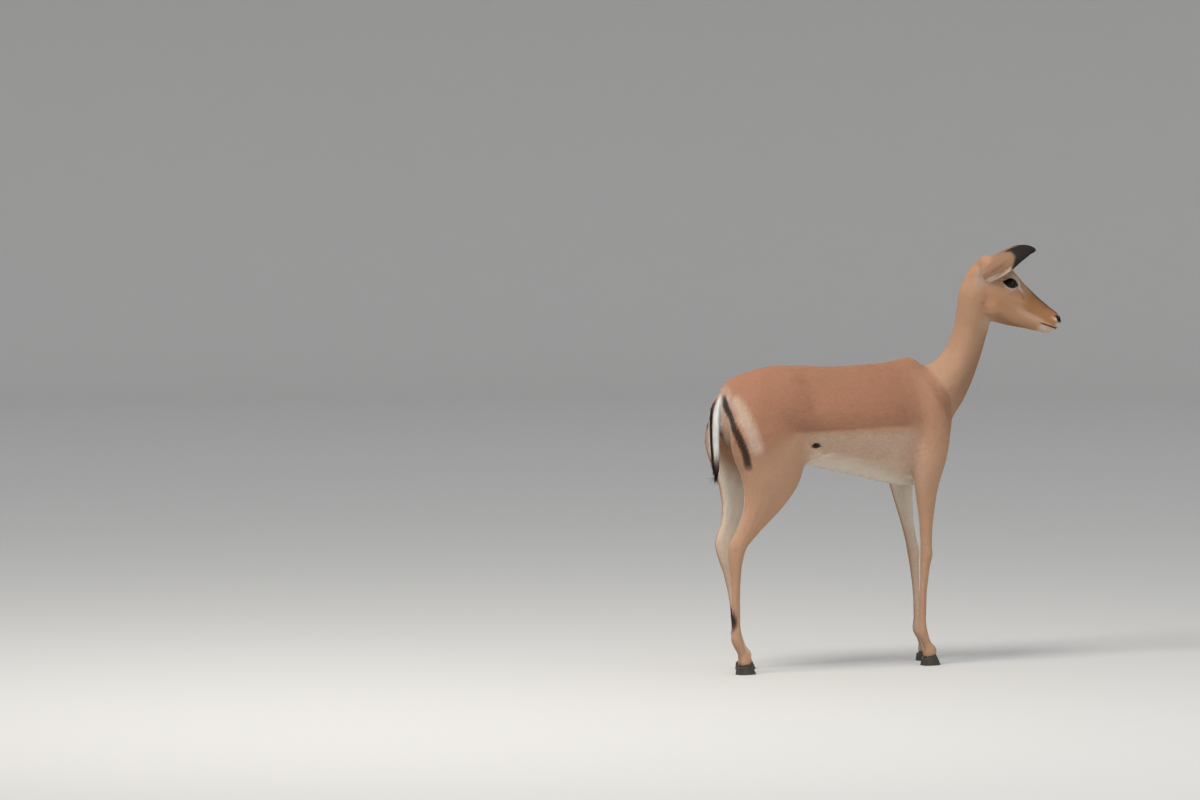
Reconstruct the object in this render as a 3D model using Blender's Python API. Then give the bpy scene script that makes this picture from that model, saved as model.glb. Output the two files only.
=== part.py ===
"""A still, life-size impala ewe, standing alert with her head turned to her right.

Metres, +Z up, +X from tail to chest, +Y to her left, origin on the floor under the middle of her box.
The body is lofted from named cross-sections, fused and smoothed as one form, then parted by thin
cuts into the parts a person would name. Ears, tail, eyes and hooves are solids of their own.
"""

import math
from collections import namedtuple

import bmesh
import bpy
import numpy as np
from mathutils import Matrix, Vector

# Driving dimensions
WITHERS_HEIGHT = 0.834
HEAD_TURN = -30.0  # degrees about +Z: the head looks to her right
HEAD_DROOP = -28.0  # pitch of the head's long axis, from poll to nose
POLL = Vector((0.388, -0.072, 1.040))  # where the head's own u and v start
LEG_SPREAD_FORE = 0.062  # each foreleg's distance from the middle plane
LEG_SPREAD_HIND = 0.064
EAR_LENGTH = 0.158
EAR_WIDTH = 0.095
EAR_THICKNESS = 0.0034
EYE_RADIUS = 0.0185
EYE_AT = (0.0660, 0.0150, 0.0350)  # u, v and distance from the head's middle plane
TAIL_LENGTH = 0.225

# How finely the form is made
GAP = 0.0003  # between neighbouring solids
VOXEL = 0.0038
BODY_TRIANGLES = 4800
RING_POINTS = 28
STEPS = 6
SMOOTHING_TURNS = 80
HEAD_SOFTNESS, LEG_SOFTNESS = 0.05, 0.05

Section = namedtuple("Section", "x y z lean turn top bottom crown girth keel")


# ---------------------------------------------------------------- general tools


def clear_scene():
    for obj in list(bpy.data.objects):
        bpy.data.objects.remove(obj)


def add_object(name, mesh, helper=False):
    obj = bpy.data.objects.new(name, mesh)
    bpy.context.scene.collection.objects.link(obj)
    if helper:
        obj.hide_render = True
        obj.display_type = "WIRE"
    return obj


def mesh_from(bm, name):
    bmesh.ops.recalc_face_normals(bm, faces=bm.faces[:])
    if bm.calc_volume(signed=True) < 0:
        bmesh.ops.reverse_faces(bm, faces=bm.faces[:])
    mesh = bpy.data.meshes.new(name)
    bm.to_mesh(mesh)
    bm.free()
    return mesh


def applied(obj, name):
    """A plain mesh of obj as its modifiers leave it; obj is then removed."""
    graph = bpy.context.evaluated_depsgraph_get()
    mesh = bpy.data.meshes.new_from_object(obj.evaluated_get(graph))
    bpy.data.objects.remove(obj)
    mesh.name = name
    return mesh


def curve_through(rows, steps):
    """Rows of numbers on a smooth curve through the given rows, with this many steps between two of them."""
    rows = np.array(rows, float)
    ends = np.vstack([2 * rows[0] - rows[1], rows, 2 * rows[-1] - rows[-2]])
    found = []
    for before, start, stop, after in zip(ends, ends[1:], ends[2:], ends[3:]):
        for t in np.arange(steps) / steps:
            found.append(
                start
                + 0.5 * t * (stop - before)
                + t * t * (before - 2.5 * start + 2 * stop - 0.5 * after)
                + t**3 * (1.5 * (start - stop) + 0.5 * (after - before))
            )
    return np.array(found + [rows[-1]])


def axes_of(lean, turn):
    """Forward, side and up of something that heads at this lean above the floor, turned about +Z."""
    lean, turn = math.radians(lean), math.radians(turn)
    forward = Vector(
        (math.cos(lean) * math.cos(turn), math.cos(lean) * math.sin(turn), math.sin(lean))
    )
    side = Vector((-math.sin(turn), math.cos(turn), 0))
    return forward, side, forward.cross(side)


def ring_of(section):
    """Points round one cross-section: crown, girth and keel are its half-widths above, at and below the middle."""
    _, side, up = axes_of(section.lean, section.turn)
    centre = Vector((section.x, section.y, section.z))
    for k in range(RING_POINTS):
        angle = 2 * math.pi * k / RING_POINTS
        rise = math.sin(angle)
        reach = section.top if rise > 0 else section.bottom
        edge = section.crown if rise > 0 else section.keel
        width = section.girth + (edge - section.girth) * rise * rise
        yield centre + side * (math.cos(angle) * width) + up * (reach * rise)


def loft_into(bm, sections, steps=STEPS):
    """A closed skin over the cross-sections, added to bm."""
    rings = []
    for row in curve_through(sections, steps):
        rings.append([bm.verts.new(point) for point in ring_of(Section(*row))])
    for near, far in zip(rings, rings[1:]):
        for k in range(RING_POINTS):
            after = (k + 1) % RING_POINTS
            bm.faces.new((near[k], near[after], far[after], far[k]))
    bm.faces.new(rings[0])
    bm.faces.new(rings[-1])


def ball_into(bm, centre, radii, turn=Matrix.Identity(3), segments=20):
    """An ellipsoid, added to bm."""
    matrix = Matrix.Translation(centre) @ turn.to_4x4() @ Matrix.Diagonal((*radii, 1))
    bmesh.ops.create_uvsphere(
        bm, u_segments=segments, v_segments=segments // 2, radius=1, matrix=matrix
    )


def boolean(obj, other, operation):
    modifier = obj.modifiers.new(operation.title(), "BOOLEAN")
    modifier.operation = operation
    modifier.object = other
    modifier.solver = "EXACT"


# ---------------------------------------------------------------- the head's own frame

HEAD_FORWARD, HEAD_LEFT, HEAD_UP = axes_of(HEAD_DROOP, HEAD_TURN)
HEAD_AXES = Matrix((HEAD_FORWARD, HEAD_LEFT, HEAD_UP)).transposed()


def head_point(u, v, w=0.0):
    """u runs from poll to nose, v towards the brow, w to her left."""
    return POLL + HEAD_FORWARD * u + HEAD_UP * v + HEAD_LEFT * w


# ---------------------------------------------------------------- the body's lofts


def trunk_sections():
    """From the rump to the breast: x, top and bottom lines, height of the widest line, three half-widths."""
    stations = (
        (-0.386, 0.736, 0.640, 0.684, 0.022, 0.030, 0.022),  # under the tail head
        (-0.366, 0.774, 0.598, 0.682, 0.034, 0.062, 0.040),
        (-0.325, 0.793, 0.566, 0.678, 0.046, 0.088, 0.056),
        (-0.240, 0.814, 0.552, 0.672, 0.056, 0.101, 0.068),  # croup
        (-0.150, 0.815, 0.546, 0.662, 0.052, 0.105, 0.072),  # loin
        (-0.050, 0.810, 0.524, 0.650, 0.050, 0.117, 0.078),  # paunch
        (0.045, 0.814, 0.503, 0.640, 0.044, 0.118, 0.074),  # last ribs
        (0.125, 0.820, 0.485, 0.630, 0.034, 0.107, 0.066),
        (0.195, WITHERS_HEIGHT, 0.475, 0.622, 0.018, 0.091, 0.056),  # withers and elbow
        (0.246, 0.806, 0.490, 0.630, 0.022, 0.077, 0.048),
        (0.288, 0.768, 0.535, 0.645, 0.024, 0.058, 0.038),  # breast
        (0.313, 0.712, 0.590, 0.650, 0.016, 0.034, 0.024),
    )
    return [
        Section(x, 0, middle, 0, 0, top - middle, middle - bottom, crown, girth, keel)
        for x, top, bottom, middle, crown, girth, keel in stations
    ]


def neck_sections():
    """From inside the chest up to the poll, bending to her right."""
    return (
        Section(0.190, 0.000, 0.665, 18, 0, 0.130, 0.118, 0.030, 0.078, 0.052),
        Section(0.290, -0.002, 0.745, 33, -3, 0.074, 0.088, 0.026, 0.060, 0.042),
        Section(0.338, -0.013, 0.815, 53, -9, 0.052, 0.064, 0.028, 0.048, 0.038),
        Section(0.358, -0.032, 0.884, 67, -17, 0.047, 0.053, 0.029, 0.041, 0.036),
        Section(0.362, -0.050, 0.945, 73, -24, 0.048, 0.052, 0.030, 0.040, 0.035),
        Section(0.365, -0.063, 0.993, 72, -28, 0.050, 0.052, 0.031, 0.041, 0.036),
        Section(0.374, -0.068, 1.031, 62, -30, 0.044, 0.046, 0.029, 0.039, 0.032),
    )


def head_sections():
    """From the poll to the lips, in the head's own u and v."""
    stations = (
        (-0.049, 0.004, -0.050, -0.022, 0.014, 0.022, 0.020),
        (-0.036, 0.037, -0.062, -0.008, 0.022, 0.034, 0.029),  # nape
        (-0.014, 0.062, -0.078, 0.002, 0.028, 0.041, 0.034),  # poll
        (0.022, 0.065, -0.093, 0.006, 0.034, 0.044, 0.036),
        (0.060, 0.050, -0.100, 0.010, 0.036, 0.045, 0.034),  # brow and jaw angle
        (0.092, 0.037, -0.095, 0.002, 0.025, 0.040, 0.031),
        (0.122, 0.028, -0.087, -0.014, 0.018, 0.033, 0.028),  # cheek
        (0.155, 0.019, -0.076, -0.024, 0.014, 0.0280, 0.0255),
        (0.187, 0.012, -0.067, -0.028, 0.014, 0.0250, 0.0230),  # corner of the mouth
        (0.211, 0.008, -0.059, -0.027, 0.016, 0.0235, 0.0195),  # nostrils and chin
        (0.228, 0.001, -0.046, -0.023, 0.015, 0.0205, 0.0150),
        (0.238, -0.010, -0.033, -0.021, 0.009, 0.0125, 0.0090),  # lips
    )
    for u, top, bottom, middle, crown, girth, keel in stations:
        yield Section(
            *head_point(u, middle), HEAD_DROOP, HEAD_TURN, top - middle, middle - bottom, crown, girth, keel
        )


def foreleg_sections(side, step):
    """Shoulder blade to coronet. step moves the foot forwards, and the joints above it in proportion."""
    stations = (
        # x, z, lean, front, rear, half-width, spread past the foot's
        (0.190, 0.786, -74, 0.014, 0.018, 0.008, -0.042),  # top of the shoulder blade
        (0.205, 0.742, -74, 0.034, 0.040, 0.020, -0.021),
        (0.222, 0.690, -76, 0.048, 0.054, 0.030, -0.004),
        (0.230, 0.630, -84, 0.054, 0.062, 0.035, 0.006),  # point of the shoulder
        (0.222, 0.565, -94, 0.050, 0.060, 0.036, 0.010),  # upper arm
        (0.213, 0.505, -92, 0.037, 0.046, 0.031, 0.010),  # elbow
        (0.211, 0.450, -88, 0.029, 0.031, 0.0240, 0.005),
        (0.214, 0.385, -88, 0.0205, 0.0205, 0.0185, 0.002),  # forearm
        (0.217, 0.330, -88, 0.0175, 0.0165, 0.0168, 0.000),
        (0.219, 0.298, -90, 0.0190, 0.0170, 0.0187, 0.000),  # knee
        (0.217, 0.264, -92, 0.0145, 0.0142, 0.0148, 0.000),
        (0.215, 0.195, -90, 0.0112, 0.0120, 0.0110, 0.000),  # cannon
        (0.214, 0.120, -90, 0.0114, 0.0130, 0.0112, 0.000),
        (0.215, 0.089, -82, 0.0145, 0.0172, 0.0155, 0.000),  # fetlock
        (0.226, 0.062, -62, 0.0128, 0.0135, 0.0138, 0.000),  # pastern
        (0.236, 0.040, -68, 0.0165, 0.0165, 0.0155, 0.000),
        (0.241, 0.018, -80, 0.0165, 0.0165, 0.0155, 0.000),
    )
    return [
        Section(
            x + step * stride_share(z),
            side * (LEG_SPREAD_FORE + spread),
            z,
            lean,
            0,
            front,
            rear,
            half,
            half,
            half,
        )
        for x, z, lean, front, rear, half, spread in stations
    ]


def hindleg_sections(side, step):
    """Hip to coronet. The half-widths grow towards the stifle in front and the ham behind."""
    stations = (
        (-0.262, 0.790, -90, 0.030, 0.034, 0.010, -0.036),  # hip
        (-0.268, 0.745, -90, 0.064, 0.072, 0.028, -0.020),
        (-0.272, 0.695, -90, 0.090, 0.098, 0.039, -0.006),
        (-0.274, 0.640, -90, 0.104, 0.117, 0.045, 0.004),  # ham
        (-0.272, 0.580, -91, 0.107, 0.112, 0.045, 0.009),
        (-0.272, 0.520, -96, 0.094, 0.088, 0.040, 0.010),  # stifle
        (-0.286, 0.468, -105, 0.069, 0.062, 0.0315, 0.008),
        (-0.309, 0.416, -112, 0.044, 0.039, 0.0230, 0.004),  # gaskin
        (-0.332, 0.371, -112, 0.028, 0.0310, 0.0182, 0.001),
        (-0.350, 0.337, -100, 0.0220, 0.0330, 0.0188, 0.000),  # hock
        (-0.356, 0.300, -88, 0.0190, 0.0225, 0.0175, 0.000),
        (-0.354, 0.252, -87, 0.0142, 0.0150, 0.0134, 0.000),
        (-0.350, 0.185, -87, 0.0122, 0.0130, 0.0117, 0.000),  # cannon
        (-0.347, 0.122, -87, 0.0124, 0.0140, 0.0120, 0.000),
        (-0.345, 0.092, -80, 0.0150, 0.0178, 0.0155, 0.000),  # fetlock
        (-0.333, 0.064, -62, 0.0132, 0.0138, 0.0140, 0.000),  # pastern
        (-0.322, 0.041, -68, 0.0165, 0.0165, 0.0155, 0.000),
        (-0.317, 0.018, -80, 0.0165, 0.0165, 0.0155, 0.000),
    )
    return [
        Section(
            x + step * stride_share(z),
            side * (LEG_SPREAD_HIND + spread),
            z,
            lean,
            0,
            front,
            rear,
            half,
            half,
            half,
        )
        for x, z, lean, front, rear, half, spread in stations
    ]


def stride_share(z):
    """How much of a foot's step is felt at this height: none at the elbow or stifle, all of it at the fetlock."""
    high, low = 0.52, 0.10
    t = min(1.0, max(0.0, (high - z) / (high - low)))
    return t * t * (3 - 2 * t) if t < 1 else 1.0


Leg = namedtuple("Leg", "name side sections step foot_x spread")
FORE_FOOT_X, HIND_FOOT_X = 0.238, -0.320
LEGS = (
    Leg("foreleg_left", 1, foreleg_sections, 0.045, FORE_FOOT_X, LEG_SPREAD_FORE),
    Leg("foreleg_right", -1, foreleg_sections, -0.012, FORE_FOOT_X, LEG_SPREAD_FORE),
    Leg("hindleg_left", 1, hindleg_sections, 0.050, HIND_FOOT_X, LEG_SPREAD_HIND),
    Leg("hindleg_right", -1, hindleg_sections, -0.018, HIND_FOOT_X, LEG_SPREAD_HIND),
)


def head_forms_into(bm):
    """What stands out on the head: orbit rims, cheeks, ear roots, lips, nose pad and chin."""
    for side in (1, -1):
        u, v, w = EYE_AT
        ball_into(bm, head_point(u - 0.002, v + 0.002, side * (w - 0.010)), (0.030, 0.022, 0.026), HEAD_AXES)
        ball_into(bm, head_point(0.050, -0.046, side * 0.017), (0.046, 0.019, 0.043), HEAD_AXES)
        ball_into(bm, head_point(-0.008, 0.033, side * 0.024), (0.030, 0.031, 0.027), HEAD_AXES)
        ball_into(bm, head_point(0.218, -0.013, side * 0.0105), (0.015, 0.012, 0.015), HEAD_AXES)
        ball_into(bm, head_point(0.200, -0.030, side * 0.0135), (0.026, 0.0105, 0.012), HEAD_AXES)
    ball_into(bm, head_point(0.204, -0.050, 0), (0.021, 0.018, 0.0125), HEAD_AXES)


def flank_folds_into(bm):
    """The fold of skin that joins each stifle to the flank in front of it."""
    for side in (1, -1):
        ball_into(bm, Vector((-0.162, side * 0.077, 0.592)), (0.074, 0.016, 0.040))


def digits_into(bm):
    """The two toes of each foot, side by side above their claws."""
    for leg in LEGS:
        for toe in (1, -1):
            at = (leg.foot_x + leg.step - 0.001, leg.side * leg.spread + toe * 0.0088, 0.034)
            ball_into(bm, Vector(at), (0.0185, 0.0090, 0.026), segments=14)


def fused_body():
    """Trunk, neck, head and legs as one smooth closed surface."""
    bm = bmesh.new()
    loft_into(bm, trunk_sections())
    loft_into(bm, neck_sections())
    loft_into(bm, list(head_sections()))
    for leg in LEGS:
        loft_into(bm, leg.sections(leg.side, leg.step))
    head_forms_into(bm)
    flank_folds_into(bm)
    digits_into(bm)
    lofts = add_object("lofts", mesh_from(bm, "lofts"))
    fuse = lofts.modifiers.new("Fuse", "REMESH")
    fuse.mode = "VOXEL"
    fuse.voxel_size = VOXEL
    surface = add_object("surface", applied(lofts, "surface"))
    soft = surface.vertex_groups.new(name="soft")
    for vertex in surface.data.vertices:
        soft.add([vertex.index], softness(vertex.co), "REPLACE")
    smooth = surface.modifiers.new("Smooth", "SMOOTH")
    smooth.iterations = SMOOTHING_TURNS
    smooth.vertex_group = soft.name
    thin = surface.modifiers.new("Thin", "DECIMATE")
    thin.ratio = BODY_TRIANGLES / (2 * len(surface.data.polygons))
    return applied(surface, "body")


def softness(point):
    """How far the fused surface may be smoothed here: the trunk's folds a lot, the slim head and legs little."""
    body_share = min(1.0, max(LEG_SOFTNESS, (point.z - 0.42) / 0.16))
    head_share = min(1.0, max(HEAD_SOFTNESS, (0.93 - point.z) / 0.14))
    return min(body_share, head_share)


# ---------------------------------------------------------------- cutters


def prism(name, outline, near, far):
    """A closed prism whose outline is given in y and z, from x near to x far."""
    bm = bmesh.new()
    face = bm.faces.new([bm.verts.new((near, y, z)) for y, z in outline])
    made = bmesh.ops.extrude_face_region(bm, geom=[face])
    moved = [part for part in made["geom"] if isinstance(part, bmesh.types.BMVert)]
    bmesh.ops.translate(bm, verts=moved, vec=(far - near, 0, 0))
    return add_object(name, mesh_from(bm, name), helper=True)


def block(name, at, lean, turn, size, shift=0.0):
    """A box that starts at a point and runs forwards along its heading. shift moves its near face forwards."""
    forward, side, up = axes_of(lean, turn)
    axes = Matrix((forward, side, up)).transposed().to_4x4()
    depth, width, height = size
    centre = Vector(at) + forward * (depth / 2 + shift)
    bm = bmesh.new()
    bmesh.ops.create_cube(
        bm, size=1, matrix=Matrix.Translation(centre) @ axes @ Matrix.Diagonal((*size, 1))
    )
    return add_object(name, mesh_from(bm, name), helper=True)


def leg_cutter(leg, gap):
    """Below a slanting cut from the armpit or groin up to the outside of the leg."""
    if "fore" in leg.name:
        slant = ((0.0, 0.440), (0.034, 0.462), (0.075, 0.540), (0.180, 0.600))
        near, far = 0.155, 0.400
    else:
        slant = ((0.0, 0.478), (0.030, 0.500), (0.080, 0.620), (0.180, 0.700))
        near, far = -0.480, -0.152
    outline = [(0.0, -0.05)] + [(y, z - gap) for y, z in slant] + [(0.180, -0.05)]
    return prism(f"{leg.name}_cutter", [(leg.side * y, z) for y, z in outline], near, far)


NECK_CUT = dict(at=(0.286, 0, 0.748), lean=36, turn=-2, size=(0.80, 0.80, 0.90))
HEAD_CUT = dict(at=(0.366, -0.062, 0.985), lean=16, turn=-29, size=(0.60, 0.60, 0.60))


def part_of(body, name, cutter):
    """The share of the body that lies inside the cutter, as a node."""
    node = add_object(name, body.copy())
    boolean(node, cutter, "INTERSECT")
    return node


# ---------------------------------------------------------------- feet

CORONET_HEIGHT, CORONET_SLOPE = 0.0265, 0.32  # at the foot's middle; it rises towards the toe
CLAW_LENGTH, CLAW_WIDTH = 0.054, 0.0172
CLAW_PARTING = 0.0006  # half the slit between the two claws of a foot
HEEL = -0.024
CLAW_STEPS, CLAW_RINGS = 7, 4


def coronet_height(x, foot_x):
    """The slanting plane where hair ends and horn starts."""
    return CORONET_HEIGHT + CORONET_SLOPE * (x - foot_x)


def foot_cutter(leg):
    """Everything above the coronet plane of one foot."""
    foot_x = leg.foot_x + leg.step
    lean = math.degrees(math.atan(CORONET_SLOPE))
    at = (foot_x, leg.side * leg.spread, coronet_height(foot_x, foot_x))
    return block(f"{leg.name}_sole", at, lean - 90, 0, (0.06, 0.12, 0.16))


def claw_outline():
    """One claw's sole from heel to toe: x from the foot's middle, and distance from the slit."""
    for k in range(CLAW_STEPS):
        t = k / (CLAW_STEPS - 1)
        bulge = math.sin(math.pi * (0.10 + 0.86 * t) ** 0.85) ** 0.55
        yield HEEL + CLAW_LENGTH * t, CLAW_WIDTH * bulge


def claw(leg, name, outer):
    """One half of the cloven hoof: a wall that slopes in from a flat sole to the coronet."""
    foot_x = leg.foot_x + leg.step
    away = leg.side if outer else -leg.side
    bm = bmesh.new()
    rings = []
    for level in range(CLAW_RINGS):
        t = level / (CLAW_RINGS - 1)
        ring = []
        for x, wide in claw_outline():
            place = x * (1 - 0.32 * t) - 0.006 * t
            rise = t * (coronet_height(foot_x + place, foot_x) - GAP)
            ring.append((place, CLAW_PARTING + wide * (1 - 0.10 * t), rise))
        ring.append((ring[-1][0], CLAW_PARTING, ring[-1][2]))
        ring.append((ring[0][0], CLAW_PARTING, ring[0][2]))
        places = [(foot_x + x, leg.side * leg.spread + away * y, z) for x, y, z in ring]
        rings.append([bm.verts.new(place) for place in places])
    for low, high in zip(rings, rings[1:]):
        for k, corner in enumerate(low):
            after = (k + 1) % len(low)
            bm.faces.new((corner, low[after], high[after], high[k]))
    bm.faces.new(rings[0])
    bm.faces.new(rings[-1])
    return add_object(name, mesh_from(bm, name))


# ---------------------------------------------------------------- ears, tail and eyes

EAR_ROOT = (-0.010, 0.019, 0.033)  # u, v, w
EAR_TIP = (0.082, 0.123, 0.072)
EAR_STEPS, EAR_ACROSS = 12, 8


def ear_sheet(side):
    """The cupped leaf of one ear: it is rolled into a tube at its root and opens forwards and down."""
    root = head_point(EAR_ROOT[0], EAR_ROOT[1], side * EAR_ROOT[2])
    tip = head_point(EAR_TIP[0], EAR_TIP[1], side * EAR_TIP[2])
    along = (tip - root).normalized()
    opening = (HEAD_FORWARD * 0.80 - HEAD_UP * 0.50 - HEAD_LEFT * (side * 0.30)).normalized()
    opening = (opening - along * opening.dot(along)).normalized()
    across = along.cross(opening)
    bm = bmesh.new()
    rows = []
    for i in range(EAR_STEPS + 1):
        t = i / EAR_STEPS
        width = EAR_WIDTH * leaf_width(t)
        half_angle = math.radians(140 - 90 * t**0.8)
        radius = width / (2 * math.sin(min(half_angle, math.pi / 2)))
        middle = root + along * (EAR_LENGTH * (t - 0.06)) - opening * (0.006 * math.sin(math.pi * t))
        centre = middle + opening * radius * 0.5
        row = []
        for j in range(EAR_ACROSS + 1):
            angle = half_angle * (2 * j / EAR_ACROSS - 1)
            row.append(
                bm.verts.new(
                    centre - opening * (radius * math.cos(angle)) + across * (radius * math.sin(angle))
                )
            )
        rows.append(row)
    for low, high in zip(rows, rows[1:]):
        for j in range(EAR_ACROSS):
            bm.faces.new((low[j], low[j + 1], high[j + 1], high[j]))
    return bm


def leaf_width(t):
    """Share of the ear's full width at this share of its length."""
    grow = 0.54 + 0.46 * math.sin(math.pi * min(1.0, t / 0.84) * 0.5)
    taper = 1.0 if t < 0.48 else max(0.0, 1 - ((t - 0.48) / 0.52) ** 1.9) ** 0.68
    return max(0.07, grow * taper)


def ear(name, side):
    bm = ear_sheet(side)
    obj = add_object(name, mesh_from(bm, name))
    shell = obj.modifiers.new("Thickness", "SOLIDIFY")
    shell.thickness = EAR_THICKNESS
    shell.offset = 0.0
    return obj


def tail_object():
    """Hangs from the rump, flat and broad with hair in the middle, pointed at its end."""
    root_z = 0.740
    shape = (
        # x, share of the length down, lean, depth, half-width
        (-0.350, -0.02, -140, 0.014, 0.017),
        (-0.378, 0.06, -122, 0.015, 0.019),
        (-0.394, 0.20, -100, 0.014, 0.022),
        (-0.398, 0.42, -90, 0.013, 0.026),
        (-0.396, 0.68, -88, 0.012, 0.025),
        (-0.393, 0.90, -88, 0.009, 0.016),
        (-0.392, 1.00, -88, 0.004, 0.005),
    )
    sections = [
        Section(x, 0, root_z - share * TAIL_LENGTH, lean, 0, depth, depth, half, half, half)
        for x, share, lean, depth, half in shape
    ]
    bm = bmesh.new()
    loft_into(bm, sections, steps=3)
    tail = add_object("tail", mesh_from(bm, "tail"))
    thin = tail.modifiers.new("Thin", "DECIMATE")
    thin.ratio = 0.35
    return tail


def swollen(mesh, name, by=GAP):
    """A helper copy of a solid, grown by a gap, for cutting its neighbour."""
    obj = add_object(name, mesh.copy(), helper=True)
    grow = obj.modifiers.new("Grow", "DISPLACE")
    grow.mid_level = 0.0
    grow.strength = by
    return obj


def eyeball(name, side, radius, helper=False):
    u, v, w = EYE_AT
    bm = bmesh.new()
    ball_into(bm, head_point(u, v, side * w), (radius,) * 3, HEAD_AXES, segments=16)
    return add_object(name, mesh_from(bm, name), helper)


def nostril_cutter(side):
    bm = bmesh.new()
    tilt = HEAD_AXES @ Matrix.Rotation(math.radians(side * 28), 3, "Z") @ Matrix.Rotation(
        math.radians(-38), 3, "Y"
    )
    ball_into(bm, head_point(0.236, -0.012, side * 0.0135), (0.0095, 0.0042, 0.0050), tilt, segments=12)
    return add_object(f"nostril_{side}", mesh_from(bm, "nostril"), helper=True)


def mouth_cutter():
    """A thin slit from the corners of the mouth forwards."""
    return block(
        "mouth_slit", head_point(0.196, -0.0395), HEAD_DROOP + 6.5, HEAD_TURN, (0.08, 0.12, 0.0012)
    )


# ---------------------------------------------------------------- finish of the plain model

COLOURS = {
    "coat_saddle": ((0.42, 0.19, 0.10), 0.75),
    "coat_fawn": ((0.55, 0.31, 0.17), 0.75),
    "coat_leg": ((0.52, 0.33, 0.20), 0.75),
    "coat_ear": ((0.40, 0.27, 0.15), 0.80),
    "coat_tail": ((0.72, 0.66, 0.58), 0.85),
    "hoof_horn": ((0.05, 0.04, 0.035), 0.40),
    "eye": ((0.02, 0.012, 0.01), 0.08),
}


def finish(obj, slot):
    material = bpy.data.materials.get(slot)
    if material is None:
        colour, roughness = COLOURS[slot]
        material = bpy.data.materials.new(slot)
        material.use_nodes = True
        shader = material.node_tree.nodes["Principled BSDF"]
        shader.inputs["Base Color"].default_value = (*colour, 1)
        shader.inputs["Roughness"].default_value = roughness
        shader.inputs["Metallic"].default_value = 0.0
    obj.data.materials.clear()
    obj.data.materials.append(material)


def settle(obj, slot):
    """Bakes the modifiers in, so that no node depends on a helper, and shades it smooth."""
    name = obj.name
    mesh = applied(obj, name)
    made = add_object(name, mesh)
    made.name = name
    mesh.shade_smooth()
    mesh.set_sharp_from_angle(angle=math.radians(40))
    finish(made, slot)
    return made


# ---------------------------------------------------------------- build


def build():
    clear_scene()
    body = fused_body()

    neck_block = block("neck_block", **NECK_CUT)
    neck_near = block("neck_near", **NECK_CUT, shift=GAP)
    head_block = block("head_block", **HEAD_CUT)
    head_near = block("head_near", **HEAD_CUT, shift=GAP)

    trunk = add_object("trunk", body.copy())
    boolean(trunk, neck_block, "DIFFERENCE")
    neck = part_of(body, "neck", neck_near)
    boolean(neck, head_block, "DIFFERENCE")
    head = part_of(body, "head", head_near)
    sockets = {side: eyeball(f"socket_{side}", side, EYE_RADIUS + GAP, helper=True) for side in (1, -1)}
    for side in (1, -1):
        boolean(head, sockets[side], "DIFFERENCE")
        boolean(head, nostril_cutter(side), "DIFFERENCE")
    boolean(head, mouth_cutter(), "DIFFERENCE")

    legs = []
    for leg in LEGS:
        boolean(trunk, leg_cutter(leg, 0.0), "DIFFERENCE")
        node = part_of(body, leg.name, leg_cutter(leg, 0.0005))
        boolean(node, foot_cutter(leg), "DIFFERENCE")
        legs.append(node)

    trunk = settle(trunk, "coat_saddle")
    settle(neck, "coat_fawn")
    head = settle(head, "coat_fawn")
    for node in legs:
        settle(node, "coat_leg")
    for leg in LEGS:
        for place, outer in (("outer", True), ("inner", False)):
            finish(claw(leg, f"hoof_{leg.name}_{place}", outer), "hoof_horn")

    for word, side in (("left", 1), ("right", -1)):
        finish(eyeball(f"eye_{word}", side, EYE_RADIUS), "eye")
        shell = ear(f"ear_{word}", side)
        boolean(shell, swollen(head.data, f"head_for_ear_{word}"), "DIFFERENCE")
        settle(shell, "coat_ear")
    tail = tail_object()
    boolean(tail, swollen(trunk.data, "trunk_for_tail"), "DIFFERENCE")
    for leg, node_name in ((leg, leg.name) for leg in LEGS if "hind" in leg.name):
        boolean(tail, swollen(bpy.data.objects[node_name].data, f"{node_name}_for_tail"), "DIFFERENCE")
    settle(tail, "coat_tail")

    for obj in [o for o in bpy.data.objects if o.hide_render]:
        bpy.data.objects.remove(obj)
    centre_on_floor()


def centre_on_floor():
    """Moves every node so that the origin is on the floor under the middle of the box."""
    corners = np.array([v.co for obj in bpy.data.objects for v in obj.data.vertices])
    low, high = corners.min(0), corners.max(0)
    shift = Matrix.Translation((-(low[0] + high[0]) / 2, -(low[1] + high[1]) / 2, -low[2]))
    for obj in bpy.data.objects:
        obj.data.transform(shift)


build()
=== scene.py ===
# %% [markdown]
# # An impala ewe in her coat
#
# The solids of the animal are already made: trunk, neck, head, legs, ears, tail, eyes and hooves. This
# lesson gives them a body's surface. One skin is drawn over all the flesh. It gets eyelids, lips and
# nostrils, then markings, and at last short fur as thin mesh tufts that follow the lie of the coat. Every
# size and place below is in metres, and is measured from the solids wherever they can give it.

# %% The frame
import math

import bmesh
import bpy
import numpy as np
from mathutils import Matrix, Vector
from mathutils.bvhtree import BVHTree


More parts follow.
